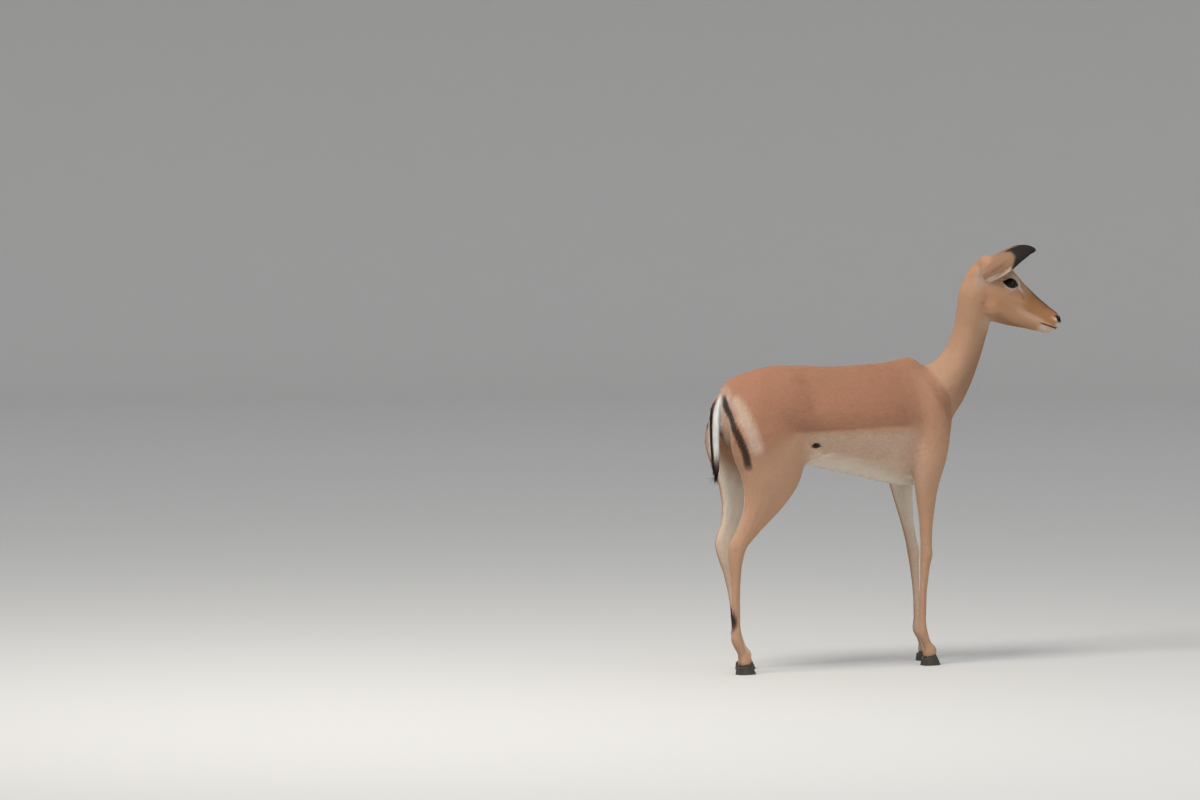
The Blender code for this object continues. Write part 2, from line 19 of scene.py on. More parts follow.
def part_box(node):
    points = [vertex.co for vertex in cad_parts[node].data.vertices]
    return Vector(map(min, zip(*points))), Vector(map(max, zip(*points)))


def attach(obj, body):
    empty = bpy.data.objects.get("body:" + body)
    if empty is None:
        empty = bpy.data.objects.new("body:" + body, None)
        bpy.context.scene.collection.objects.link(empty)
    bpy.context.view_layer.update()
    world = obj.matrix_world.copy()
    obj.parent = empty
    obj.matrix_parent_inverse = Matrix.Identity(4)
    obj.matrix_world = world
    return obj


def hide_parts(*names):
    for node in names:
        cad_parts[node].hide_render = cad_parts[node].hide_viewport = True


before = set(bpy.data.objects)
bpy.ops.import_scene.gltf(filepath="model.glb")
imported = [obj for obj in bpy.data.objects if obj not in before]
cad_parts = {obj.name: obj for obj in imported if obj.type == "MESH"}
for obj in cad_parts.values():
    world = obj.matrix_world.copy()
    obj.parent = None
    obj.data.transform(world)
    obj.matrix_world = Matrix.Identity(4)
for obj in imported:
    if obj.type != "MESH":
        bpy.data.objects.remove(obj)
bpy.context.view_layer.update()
HOOVES = sorted(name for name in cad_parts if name.startswith("hoof_"))
EYES = ("eye_left", "eye_right")
FLESH = sorted(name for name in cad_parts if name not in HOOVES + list(EYES))
print("flesh:", ", ".join(FLESH))


# %% [markdown]
# ## Where things are on the animal
#
# A sculptor thinks in the animal's own directions: along the muzzle, up to the brow, out to the side. The
# head is turned and bowed, so it gets a frame of its own with u from poll to nose, v towards the brow and w
# to her left. The two eyes fix it: the line between them is w, and the eyes' known place in the head gives
# the poll, the highest point between the ears.

# %% The head's own frame
def middle_of(node):
    low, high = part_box(node)
    return (np.array(low) + np.array(high)) / 2


def unit(v):
    return v / np.linalg.norm(v, axis=-1, keepdims=True)


HEAD_DROOP = math.radians(-28)
EYE_U, EYE_V = 0.0660, 0.0150
EYE_RADIUS = 0.0185

eye_at = {1: middle_of("eye_left"), -1: middle_of("eye_right")}
head_left = unit(eye_at[1] - eye_at[-1])
level = np.cross(head_left, (0, 0, 1))
head_forward = level * math.cos(HEAD_DROOP) + np.array((0, 0, math.sin(HEAD_DROOP)))
head_up = np.cross(head_forward, head_left)
poll = (eye_at[1] + eye_at[-1]) / 2 - head_forward * EYE_U - head_up * EYE_V


def head_place(points):
    """u, v and w of points in the head's frame."""
    q = points - poll
    return q @ head_forward, q @ head_up, q @ head_left


def from_head(u, v, w):
    """A place in the world, given in the head's frame."""
    return poll + head_forward * u + head_up * v + head_left * w


MIDDLE_Y = middle_of("trunk")[1]
print("poll at", poll.round(3), "and the trunk's middle plane at y", round(float(MIDDLE_Y), 4))


# %% The ears' and legs' own lines
EAR_ROOT, EAR_TIP = (-0.010, 0.019, 0.033), (0.082, 0.123, 0.072)
EAR_LENGTH, EAR_WIDTH = 0.158, 0.095


def ear_frame(side):
    """Root, direction along the ear, and the direction its cup opens to."""
    root = from_head(EAR_ROOT[0], EAR_ROOT[1], side * EAR_ROOT[2])
    tip = from_head(EAR_TIP[0], EAR_TIP[1], side * EAR_TIP[2])
    along = unit(tip - root)
    opening = head_forward * 0.80 - head_up * 0.50 - head_left * (side * 0.30)
    return root, along, unit(opening - along * (opening @ along))


def ear_place(points, name):
    """Share of the ear's length, and how far round its cup: 0 at the back's middle, -1 and 1 at the rims."""
    root, along, opening = ears[name]
    q = points - root
    t = np.clip(q @ along / EAR_LENGTH + 0.06, 0, 1)
    half_angle = np.radians(140 - 90 * t**0.8)
    width = EAR_WIDTH * (0.54 + 0.46 * np.sin(math.pi * np.minimum(1.0, t / 0.84) * 0.5))
    radius = width / (2 * np.sin(np.minimum(half_angle, math.pi / 2)))
    out = q @ opening + 0.006 * np.sin(math.pi * t) - radius * 0.5
    side = q @ np.cross(along, opening)
    return t, np.arctan2(side, -out) / half_angle


ears = {"ear_left": ear_frame(1), "ear_right": ear_frame(-1)}
LEGS = ("foreleg_left", "foreleg_right", "hindleg_left", "hindleg_right")
feet = {leg: (middle_of(f"hoof_{leg}_outer") + middle_of(f"hoof_{leg}_inner")) / 2 for leg in LEGS}
HOOF_TOP = max(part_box(name)[1][2] for name in HOOVES)
print("feet:", {leg: at.round(3).tolist() for leg, at in feet.items()})


# %% [markdown]
# ## The camera and the light
#
# The camera stands sixteen metres off and looks down by three degrees, with a long lens: that keeps the legs
# parallel and the head undistorted. She stands right of the view's middle and looks out of it. The floor
# is a pale sheet that curves up far off, as in a studio, so there is no horizon line. A large lamp high
# behind her right side models the body, a weaker low one fills the shade, and the sky does the rest.

# %% Camera
VIEW_ROUND, VIEW_UP = -27.0, 3.0
CAMERA_DISTANCE = 16.0
FRAME_WIDTH = 3.2
AIM = Vector((-0.6651, 0.3389, 0.7147))


def direction_from(round_deg, up_deg):
    """The way to a place seen from her: degrees round from her right side, and degrees up."""
    a, e = math.radians(round_deg), math.radians(up_deg)
    return Vector((math.sin(a) * math.cos(e), -math.cos(a) * math.cos(e), math.sin(e)))


def place_camera():
    data = bpy.data.cameras.new("camera")
    data.sensor_width = 36.0
    data.lens = data.sensor_width * CAMERA_DISTANCE / FRAME_WIDTH
    data.clip_end = 60.0
    camera = bpy.data.objects.new("camera", data)
    towards = direction_from(VIEW_ROUND, VIEW_UP)
    camera.location = AIM + towards * CAMERA_DISTANCE
    camera.rotation_euler = towards.to_track_quat("Z", "Y").to_euler()
    bpy.context.scene.collection.objects.link(camera)
    bpy.context.scene.camera = camera
    return camera


camera = place_camera()
print("camera at", [round(c, 2) for c in camera.location], "lens", camera.data.lens, "mm")


# %% Floor, world and lamps
FLOOR_REACH, SWEEP_RADIUS = 14.0, 3.0


def paint(name, colour, roughness):
    material = bpy.data.materials.new(name)
    material.use_nodes = True
    shader = material.node_tree.nodes["Principled BSDF"]
    shader.inputs["Base Color"].default_value = (*colour, 1)
    shader.inputs["Roughness"].default_value = roughness
    return material


def studio_floor():
    """A round sheet that is flat under her and curves up all round, far off."""
    bm = bmesh.new()
    profile = [Vector((0, 0, 0)), Vector((FLOOR_REACH, 0, 0))]
    for k in range(1, 13):
        angle = math.radians(90 * k / 12)
        x = FLOOR_REACH + SWEEP_RADIUS * math.sin(angle)
        profile.append(Vector((x, 0, SWEEP_RADIUS * (1 - math.cos(angle)))))
    profile.append(profile[-1] + Vector((0, 0, 8)))
    verts = [bm.verts.new(p) for p in profile]
    edges = [bm.edges.new(pair) for pair in zip(verts, verts[1:])]
    bmesh.ops.spin(
        bm, geom=verts + edges, axis=(0, 0, 1), cent=(0, 0, 0), steps=96, angle=2 * math.pi, use_merge=True
    )
    bmesh.ops.remove_doubles(bm, verts=bm.verts[:], dist=0.0001)
    mesh = bpy.data.meshes.new("studio_floor")
    bm.to_mesh(mesh)
    bm.free()
    mesh.shade_smooth()
    floor = bpy.data.objects.new("studio_floor", mesh)
    floor.data.materials.append(paint("floor_paper", (0.62, 0.61, 0.59), 0.9))
    bpy.context.scene.collection.objects.link(floor)
    return floor


def soft_lamp(name, round_deg, up_deg, distance, size, watts, colour):
    data = bpy.data.lights.new(name, "AREA")
    data.shape = "DISK"
    data.size = size
    data.energy = watts
    data.color = colour
    lamp = bpy.data.objects.new(name, data)
    towards = direction_from(round_deg, up_deg)
    lamp.location = Vector((0, 0, 0.6)) + towards * distance
    lamp.rotation_euler = towards.to_track_quat("Z", "Y").to_euler()
    bpy.context.scene.collection.objects.link(lamp)


def sky(strength):
    world = bpy.data.worlds.new("studio")
    world.use_nodes = True
    background = world.node_tree.nodes["Background"]
    background.inputs["Color"].default_value = (0.93, 0.96, 1.0, 1)
    background.inputs["Strength"].default_value = strength
    bpy.context.scene.world = world


floor = studio_floor()
sky(0.70)
soft_lamp("key", -70, 52, 4.5, 2.0, 172, (1.0, 0.96, 0.90))
soft_lamp("fill", 15, 12, 5.0, 3.0, 48, (0.97, 0.98, 1.0))
bpy.context.scene.view_settings.view_transform = "Standard"
print("studio: floor to", FLOOR_REACH, "m")


# %% [markdown]
# ## One skin over all the flesh
#
# The solids were parted by hair-thin cuts, as a kit is. A living animal has no such seams, so all the flesh
# is poured together again: a voxel remesh reads the joined solids as one volume and wraps it in even faces.
# The cuts are far thinner than a voxel and close up. The eyeballs go in too, so that lids can be shaped
# over them.

# %% Pour the flesh together
SKIN_VOXEL = 0.0019


def mesh_object(name, mesh):
    obj = bpy.data.objects.new(name, mesh)
    bpy.context.scene.collection.objects.link(obj)
    return obj


def baked(obj, name):
    """A plain mesh of obj with its modifiers applied; obj itself is removed."""
    graph = bpy.context.evaluated_depsgraph_get()
    mesh = bpy.data.meshes.new_from_object(obj.evaluated_get(graph))
    mesh.name = name
    bpy.data.objects.remove(obj)
    return mesh


def poured_flesh():
    """All flesh solids and both eyes as one even mesh."""
    bm = bmesh.new()
    for name in FLESH + list(EYES):
        bm.from_mesh(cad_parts[name].data)
    joined = bpy.data.meshes.new("flesh")
    bm.to_mesh(joined)
    bm.free()
    obj = mesh_object("flesh", joined)
    wrap = obj.modifiers.new("Wrap", "REMESH")
    wrap.mode = "VOXEL"
    wrap.voxel_size = SKIN_VOXEL
    return baked(obj, "poured")


def points_of(mesh):
    flat = np.empty(len(mesh.vertices) * 3)
    mesh.vertices.foreach_get("co", flat)
    return flat.reshape(-1, 3)


poured = poured_flesh()
print("poured flesh:", len(poured.polygons), "faces")


# %% [markdown]
# ## Which part of the body a point belongs to
#
# Many later steps treat the ear, the leg or the trunk differently. The nearest face of the solids says which
# part a point of the skin lies on. That gives hard borders, so the shares are spread along the skin's
# edges until they fade softly into each other.

# %% Ask the solids
def for_each_part(values):
    """The value of each flesh solid, looked up by the first word found in its name."""
    return np.array([next(v for word, v in values.items() if word in name) for name in FLESH])


def solids_tree():
    """The faces of the flesh solids for nearest-face questions, and the solid that each one belongs to."""
    corners, faces, owners = [], [], []
    for index, name in enumerate(FLESH):
        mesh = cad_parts[name].data
        start = len(corners)
        corners.extend(v.co.copy() for v in mesh.vertices)
        for face in mesh.polygons:
            faces.append([start + v for v in face.vertices])
            owners.append(index)
    return BVHTree.FromPolygons(corners, faces), owners


flesh_tree, face_owner = solids_tree()


def part_shares(points):
    """One column for each flesh solid: 1 where a point is nearest to it, and 0 elsewhere."""
    shares = np.zeros((len(points), len(FLESH)))
    for row, point in enumerate(points):
        face = flesh_tree.find_nearest(point)[2]
        shares[row, face_owner[face]] = 1
    return shares


def edges_of(mesh):
    flat = np.empty(len(mesh.edges) * 2, int)
    mesh.edges.foreach_get("vertices", flat)
    return flat.reshape(-1, 2)


def spread(values, edges, turns, weight=0.5):
    """Values at the points, averaged with their neighbours' again and again."""
    a, b = edges[:, 0], edges[:, 1]
    count = np.bincount(a, minlength=len(values)) + np.bincount(b, minlength=len(values))
    count = np.maximum(count, 1)
    values = np.array(values, float)
    flat = values.reshape(len(values), -1)
    for _ in range(turns):
        for column in range(flat.shape[1]):
            v = flat[:, column]
            total = np.bincount(a, v[b], len(v)) + np.bincount(b, v[a], len(v))
            flat[:, column] = v + weight * (total / count - v)
    return flat.reshape(values.shape)


def smooth_step(low, high, x):
    """0 at low and 1 at high, with a soft start and end; low may be the larger number."""
    t = np.clip((x - low) / (high - low), 0, 1)
    return t * t * (3 - 2 * t)


# %% [markdown]
# ## Smoothing the facets away
#
# The solids are faceted, with few faces on the broad trunk and many on the head. The trunk can be smoothed
# hard, which turns its facets into flowing muscle. The same smoothing would melt the muzzle and eat the thin
# ears, so a vertex group sets how much of it each place feels. A decimation afterwards thins the faces where
# the surface is flat, which leaves room for finer faces round the eyes, on the nose and along the edges of
# the small markings. Thinning can fold a sliver of skin over its neighbour, and such folds are relaxed.

# %% Smooth, then thin
SMOOTHING_TURNS = 110
SOFTNESS_STEPS = 50
SOFTNESS = {"trunk": 1.0, "neck": 0.7, "head": 0.10, "tail": 0.12, "ear": 0.045, "leg": 0.10}
SKIN_TRIANGLES = 120000


def softness_of(points):
    """How much smoothing each point takes, from its part, with the legs' upper ends as soft as the trunk."""
    shares = part_shares(points)
    soft = shares @ for_each_part(SOFTNESS)
    in_leg = shares[:, [k for k, name in enumerate(FLESH) if "leg" in name]].sum(1) > 0.5
    soft[in_leg] = 0.10 + 0.90 * smooth_step(0.44, 0.56, points[in_leg, 2])
    return soft


def smoothed_skin(mesh):
    """The poured flesh with its facets smoothed away and its faces thinned."""
    obj = mesh_object("smoothing", mesh)
    points = points_of(mesh)
    soft = spread(softness_of(points), edges_of(mesh), 12)
    group = obj.vertex_groups.new(name="soft")
    for step in range(SOFTNESS_STEPS + 1):
        members = np.flatnonzero(np.round(soft * SOFTNESS_STEPS) == step)
        group.add(members.tolist(), step / SOFTNESS_STEPS, "REPLACE")
    smooth = obj.modifiers.new("Smooth", "SMOOTH")
    smooth.iterations = SMOOTHING_TURNS
    smooth.vertex_group = group.name
    thin = obj.modifiers.new("Thin", "DECIMATE")
    thin.ratio = SKIN_TRIANGLES / (2 * len(mesh.polygons))
    return baked(obj, "skin")


skin_mesh = smoothed_skin(poured)
print("smoothed skin:", len(skin_mesh.polygons), "faces")


# %% Finer faces where the face is modelled, where markings have crisp edges, and round the painted flank shadow
STRIPE = (
    (-0.460, 0.016, 0.728), (-0.458, 0.040, 0.695), (-0.456, 0.056, 0.673), (-0.453, 0.078, 0.645),
    (-0.449, 0.094, 0.620), (-0.438, 0.101, 0.590), (-0.426, 0.098, 0.548),
)
# where the painted shadow lies, near black, in the hollow in front of the stifle
FLANK_SHADOW_PLACE = (-0.216, 0.093, 0.600)
SLIVER = 0.00002  # edges shorter than this go
FOLDED = 0.25  # two faces whose normals agree less than this are a fold


def on_side(side, x, y, z):
    """A place on the body: y is its distance from the middle plane."""
    return np.array((x, MIDDLE_Y + side * y, z))


def fine_places():
    """Centre, reach, and the longest edge left there."""
    for side in (1, -1):
        yield from_head(EYE_U, EYE_V, side * 0.050), 0.027, 0.0011
        yield from_head(0.215, -0.022, side * 0.012), 0.036, 0.0013
        yield on_side(side, *FLANK_SHADOW_PLACE), 0.028, 0.0020
        for place in STRIPE:
            yield on_side(side, *place), 0.026, 0.0034


def mend_folds(bm, turns):
    """Relax the few places where thinning folded the skin over itself."""
    for _ in range(turns):
        bm.normal_update()
        folded = set()
        for edge in bm.edges:
            faces = edge.link_faces
            if len(faces) != 2 or faces[0].normal.dot(faces[1].normal) < FOLDED:
                folded.update(vert for face in faces for vert in face.verts)
        if not folded:
            return
        bmesh.ops.smooth_vert(
            bm, verts=list(folded), factor=0.5, use_axis_x=True, use_axis_y=True, use_axis_z=True
        )


def refine(mesh):
    """Split edges near the fine places until they are short, and mend what thinning and splitting spoil."""
    bm = bmesh.new()
    bm.from_mesh(mesh)
    mend_folds(bm, 8)
    for place, reach, longest in fine_places():
        centre = Vector(place)
        for _ in range(3):
            near = []
            for edge in bm.edges:
                if (edge.verts[0].co - centre).length < reach and edge.calc_length() > longest:
                    near.append(edge)
            if not near:
                break
            bmesh.ops.subdivide_edges(bm, edges=near, cuts=1)
            bmesh.ops.triangulate(bm, faces=[f for f in bm.faces if len(f.verts) > 3])
        bmesh.ops.dissolve_degenerate(bm, edges=bm.edges[:], dist=SLIVER)
    mend_folds(bm, 12)
    bm.to_mesh(mesh)
    bm.free()


refine(skin_mesh)
print("refined skin:", len(skin_mesh.polygons), "faces")


# %% [markdown]
# ## Modelling the surface
#
# From here the skin is sculpted by rule: each form is a hollow or a swelling with a place, a size and a
# depth, and moves the points along their own normals. Eyelids are different. They wrap the eyeball, so the
# points near an eye are set by their distance from its centre: just inside the ball within the opening, just
# outside it where a lid lies on the ball.

# %% Tools for modelling
def normals_of(mesh):
    flat = np.empty(len(mesh.vertices) * 3)
    mesh.vertices.foreach_get("normal", flat)
    return flat.reshape(-1, 3)


def bump_at(points, centre, reach):
    """1 at the centre, fading out smoothly; reach is one number, or one for each axis."""
    q = (points - np.array(centre)) / np.array(reach)
    return np.exp(-(q * q).sum(1))


def from_line(points, start, stop):
    """Distance from a straight line, and the share of the way along it."""
    start, stop = np.array(start), np.array(stop)
    along = stop - start
    t = np.clip((points - start) @ along / (along @ along), 0, 1)
    return np.linalg.norm(points - start - t[:, None] * along, axis=1), t


def distance_to_path(points, path):
    """Distance from the nearest stretch of a bent line."""
    return np.min([from_line(points, a, b)[0] for a, b in zip(path, path[1:])], axis=0)


# %% Muscle, bone and folds of the body
CREASE = (
    (0.157, 0.008, 0.808), (0.172, 0.040, 0.775), (0.188, 0.060, 0.745), (0.208, 0.061, 0.716),
    (0.226, 0.044, 0.668),
)
BODY_SWELLINGS = (
    # name, height (below 0 for a hollow), place, reach
    ("flank", -0.0062, (-0.222, 0.090, 0.725), (0.034, 0.05, 0.050)),
    ("hip bone", 0.0045, (-0.262, 0.050, 0.790), (0.024, 0.03, 0.018)),
    ("stifle", 0.0030, (-0.246, 0.090, 0.580), (0.030, 0.03, 0.034)),
)
BODY_RIDGES = (
    # name, height, start, stop, width
    ("shoulder blade's edge", 0.0036, (0.128, 0.030, 0.795), (0.165, 0.085, 0.690), 0.014),
    ("behind the shoulder", -0.0030, (0.040, 0.085, 0.720), (0.085, 0.105, 0.560), 0.018),
    ("between the ham's muscles", -0.0035, (-0.395, 0.095, 0.640), (-0.345, 0.085, 0.500), 0.014),
)
GROIN_FOLD = ((-0.224, 0.094, 0.600), (-0.190, 0.084, 0.585))
RIB_SPACING, RIB_HEIGHT = 0.030, 0.0002


def body_forms(points):
    """How far each point of the body moves outwards, in metres."""
    move = np.zeros(len(points))
    for side in (1, -1):
        for _, height, place, reach in BODY_SWELLINGS:
            move += height * bump_at(points, on_side(side, *place), reach)
        for _, height, start, stop, width in BODY_RIDGES:
            off, t = from_line(points, on_side(side, *start), on_side(side, *stop))
            move += height * np.exp(-((off / width) ** 2)) * np.sin(np.pi * t)
        groin, t = from_line(points, *(on_side(side, *place) for place in GROIN_FOLD))
        move -= (0.0065 - 0.0030 * t) * np.exp(-((groin / 0.012) ** 2))
        crease = distance_to_path(points, [on_side(side, *place) for place in CREASE])
        move -= 0.0024 * np.exp(-((crease / 0.011) ** 2))
    ribs = np.sin((points[:, 0] * 0.93 + points[:, 2] * 0.36) * 2 * math.pi / RIB_SPACING)
    chest = bump_at(points, (-0.030, MIDDLE_Y, 0.640), (0.115, 0.5, 0.075))
    return move + RIB_HEIGHT * ribs * chest


def leg_forms(points):
    """Tendons behind the cannon bones, and the cleft between the two toes."""
    move = np.zeros(len(points))
    for leg, foot in feet.items():
        q = points - foot
        near = np.hypot(q[:, 0] + 0.02, q[:, 1]) < 0.075
        cannon = np.exp(-(((points[:, 2] - 0.180) / 0.055) ** 4)) * near
        top_x = foot[0] - (0.022 if "fore" in leg else 0.030)
        behind = np.exp(-(((points[:, 0] - top_x) / 0.0035) ** 2))
        move -= 0.0016 * behind * cannon
        cleft = np.exp(-((q[:, 1] / 0.0028) ** 2)) * smooth_step(0.070, 0.045, points[:, 2])
        move -= 0.0030 * cleft * (q[:, 0] > -0.05) * near
    return move


# %% Mouth, nostrils and the lines of the face
MOUTH_V, MOUTH_CORNER, MOUTH_RISE = -0.0392, 0.190, 0.16
NOSTRIL_U, NOSTRIL_V, NOSTRIL_TILT = 0.2262, -0.0066, math.radians(-24)


def turned(du, dv, angle):
    """Steps along and across a line that rises by an angle from the muzzle's own line."""
    along = du * math.cos(angle) + dv * math.sin(angle)
    return along, dv * math.cos(angle) - du * math.sin(angle)


def mouth_line(u):
    """Height of the line between the lips: it rises a little towards the nose."""
    return MOUTH_V + MOUTH_RISE * np.maximum(u - MOUTH_CORNER, 0)


def face_forms(points):
    """Grooves and swellings of the face, outwards, in metres."""
    u, v, w = head_place(points)
    side = np.abs(w)
    head = np.stack([u, v, side], 1)
    move = np.zeros(len(points))
    lips = smooth_step(MOUTH_CORNER - 0.006, MOUTH_CORNER + 0.004, u)
    line = mouth_line(u)
    move -= 0.0024 * np.exp(-(((v - line) / 0.0011) ** 2)) * lips
    move += 0.0008 * np.exp(-(((v - line - 0.0035) / 0.0020) ** 2)) * lips
    move += 0.0006 * np.exp(-(((v - line + 0.0035) / 0.0020) ** 2)) * lips
    move += 0.0012 * bump_at(head, (0.110, -0.018, 0.040), (0.030, 0.008, 0.03))  # cheek bone
    move -= 0.0016 * bump_at(head, (0.108, 0.004, 0.033), (0.014, 0.006, 0.02))  # before the eye
    move -= 0.0012 * bump_at(head, (0.150, -0.030, 0.027), (0.030, 0.010, 0.02))  # hollow of the cheek
    move += 0.0010 * bump_at(head, (0.216, -0.018, 0.026), (0.012, 0.008, 0.02))  # upper lip
    move -= 0.0012 * np.exp(-((side / 0.0022) ** 2)) * smooth_step(0.222, 0.236, u) * (v < -0.008)
    return move


def nostril_depth(points):
    """How deep each point lies in a nostril: a comma, wide in front and narrow behind."""
    u, v, w = head_place(points)
    a, b = turned(u - NOSTRIL_U, v - NOSTRIL_V, NOSTRIL_TILT)
    b = b + 10.0 * a * a
    half = 0.0026 + 0.0032 * smooth_step(-0.008, 0.008, a)
    inside = np.exp(-(((a / 0.0115) ** 4) + (b / half) ** 4))
    return inside * smooth_step(0.0055, 0.0085, np.abs(w))


# %% Eyelids
LID_TILT = math.radians(15)
OPENING_LENGTH, OPENING_HEIGHT = 0.0174, 0.0115
OPENING_U, OPENING_V = 0.0678, 0.0178
UPPER_LID, LOWER_LID, LID_CURVE, LID_DROOP = 1.04, 0.94, 0.72, 0.10
LID_THICKNESS = 0.0014
SOCKET_DEPTH = 0.0035


def eye_opening(points):
    """Signed distance from the edge of the almond opening: below 0 inside it."""
    u, v, _ = head_place(points)
    a, b = turned(u - OPENING_U, v - OPENING_V, LID_TILT)
    b = b + LID_DROOP * np.maximum(a, 0)
    share = np.clip(1 - (a / OPENING_LENGTH) ** 2, 0, 1)
    half = np.where(b > 0, UPPER_LID, LOWER_LID) * OPENING_HEIGHT * share**LID_CURVE
    beyond = np.maximum(np.abs(a) - OPENING_LENGTH, 0)
    return np.hypot(np.maximum(np.abs(b) - half, 0), beyond) - np.maximum(half - np.abs(b), 0) * (beyond == 0)


def shape_lids(points):
    """Lids laid on the eyeballs, and the skin inside the opening pushed back out of sight."""
    points = points.copy()
    edge = eye_opening(points)
    for side, centre in eye_at.items():
        q = points - centre
        reach = np.linalg.norm(q, axis=1)
        outwards = q @ head_left * side
        near = (reach < 0.034) & (outwards > 0.001)
        towards = unit(q[near])
        d = edge[near]
        rim = 0.0007 * np.exp(-(((d - 0.0010) / 0.0009) ** 2))
        fold = -0.0009 * np.exp(-(((d - 0.0056) / 0.0012) ** 2))
        lid = EYE_RADIUS + LID_THICKNESS + rim
        hold = 1 - smooth_step(0.0035, 0.0120, d)
        wanted = lid * hold + np.maximum(reach[near], lid) * (1 - hold) + fold
        wanted = np.where(reach[near] > wanted + 0.004, reach[near] + fold, wanted)
        depth = smooth_step(0.0005, -0.0007, d)
        wanted = wanted * (1 - depth) + (EYE_RADIUS - SOCKET_DEPTH) * depth
        points[near] = centre + towards * wanted[:, None]
    return points


# %% Carve the skin
COAT_DEPTH = {"trunk": 0.0026, "neck": 0.0024, "head": 0.0012, "tail": 0.0035, "ear": 0.0002, "leg": 0.0012}
NOSTRIL_DEPTH = 0.0075


def set_points(mesh, points):
    mesh.vertices.foreach_set("co", points.ravel())
    mesh.update()


def carve(mesh):
    """Sink the skin by the coat's depth, then add every form, the lids and the nostrils."""
    points, normals, edges = points_of(mesh), normals_of(mesh), edges_of(mesh)
    shares = spread(part_shares(points), edges, 10)
    depth = shares @ for_each_part(COAT_DEPTH)
    ear_columns = [k for k, name in enumerate(FLESH) if name.startswith("ear")]
    off_ear = 1 - np.clip(shares[:, ear_columns].sum(1) * 1.6, 0, 1)
    points = points - normals * depth[:, None]
    move = body_forms(points) + leg_forms(points)
    on_head = shares[:, FLESH.index("head")] * off_ear
    move = move * (1 - on_head) * off_ear + face_forms(points) * on_head
    points = points + normals * move[:, None]
    points = shape_lids(points)
    pit = nostril_depth(points) * on_head
    _, _, w = head_place(points)
    inwards = unit(-head_forward * 0.75 + head_up * 0.05) - head_left * np.sign(w)[:, None] * 0.55
    points = points + inwards * (NOSTRIL_DEPTH * pit)[:, None]
    set_points(mesh, points)


carve(skin_mesh)
skin_mesh.shade_smooth()
skin = mesh_object("skin", skin_mesh)
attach(skin, "root")
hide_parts(*FLESH)
print("skin measures", [round(d, 3) for d in skin.dimensions])


# %% [markdown]
# ## The lie of the coat
#
# An antelope's hair points backwards along the trunk, down the neck and legs, from the nose to the ears on
# the face, and from root to tip on the ear. It parts round the eye. Each part of the body gets its own
# direction. These are mixed by how near each part is, and the mixture is laid flat on the skin.

# %% A direction for every point
NECK_DOWN = unit(np.array((0.165, MIDDLE_Y, 0.760)) - poll)


def row_dot(a, b):
    return (a * b).sum(-1, keepdims=True)


def lie_by_part(name, points):
    """The way the hair points on one part of the body, before it is laid flat."""
    n = len(points)
    if name == "trunk":
        rear = smooth_step(-0.30, -0.46, points[:, 0])
        front = smooth_step(0.10, 0.24, points[:, 0])
        low = smooth_step(0.68, 0.55, points[:, 2])
        back = 1 - 0.85 * rear
        down = 0.16 + 0.35 * low + 1.10 * rear + 0.50 * front
        return np.stack([-back, np.zeros(n), -down], 1)
    if name == "neck":
        return np.tile(NECK_DOWN, (n, 1))
    if name == "head":
        u, v, w = head_place(points)
        lie = -head_forward - head_up * 0.20 + head_left * (np.sign(w) * 0.25)[:, None]
        for centre in eye_at.values():
            away = points - centre
            near = np.exp(-((np.linalg.norm(away, axis=1) / 0.026) ** 4))[:, None]
            lie = lie * (1 - 0.75 * near) + unit(away) * near
        return lie
    if name.startswith("ear"):
        return np.tile(ears[name][1], (n, 1))
    if name.startswith("tail"):
        return np.tile((-0.06, 0.0, -1.0), (n, 1))
    hind = "hind" in name
    thigh = smooth_step(0.42, 0.60, points[:, 2])
    return np.stack([-(0.10 + 0.45 * thigh * hind), np.zeros(n), -np.ones(n)], 1)


def lie_field(points, normals, shares):
    """The lie of the coat at each point, flat on the skin; short where the hair would stand up."""
    lie = np.zeros_like(points)
    for column, name in enumerate(FLESH):
        lie += shares[:, column : column + 1] * lie_by_part(name, points)
    flat = lie - normals * row_dot(lie, normals)
    return flat / np.maximum(np.linalg.norm(flat, axis=1, keepdims=True), 0.05)


skin_points, skin_normals = points_of(skin_mesh), normals_of(skin_mesh)
skin_edges = edges_of(skin_mesh)
hard_shares = part_shares(skin_points)
soft_shares = spread(hard_shares, skin_edges, 16)
skin_lie = lie_field(skin_points, skin_normals, soft_shares)
print("lie of the coat laid out over", len(skin_lie), "points")


# %% [markdown]
# ## Markings
#
# An impala wears three browns in layers: a red saddle along the back with a clean lower edge, a paler fawn on
# the flanks and legs, and near white below. Black marks the ear tips, a stripe down each buttock, the middle
# of the tail and a tuft above each hind heel. Each marking is a mask from 0 to 1 over the points of the
# skin, found from its place on the body. Some masks carry painted shade as well: a near black shadow in the
# hollow in front of the stifle, the hip, the shoulder's crease, the flank's hollow, a fold and the canal of
# each ear, and the underside of the jaw. Painted light from below makes part of the flank's paleness. Hair
# and skin read the same masks, so they always agree.

# %% Masks of the body
SADDLE_EDGE_REAR, SADDLE_EDGE_FRONT = 0.637, 0.646
PALE_BESIDE = (
    (-0.446, 0.056, 0.722), (-0.436, 0.075, 0.695), (-0.423, 0.101, 0.648), (-0.408, 0.111, 0.601),
)


def share_of(word):
    """How much each point belongs to the parts whose names hold a word."""
    return soft_shares[:, [k for k, name in enumerate(FLESH) if word in name]].sum(1)


def mirrored(points):
    """The points with both sides of the body laid on one."""
    return np.stack([points[:, 0], np.abs(points[:, 1] - MIDDLE_Y), points[:, 2]], 1)


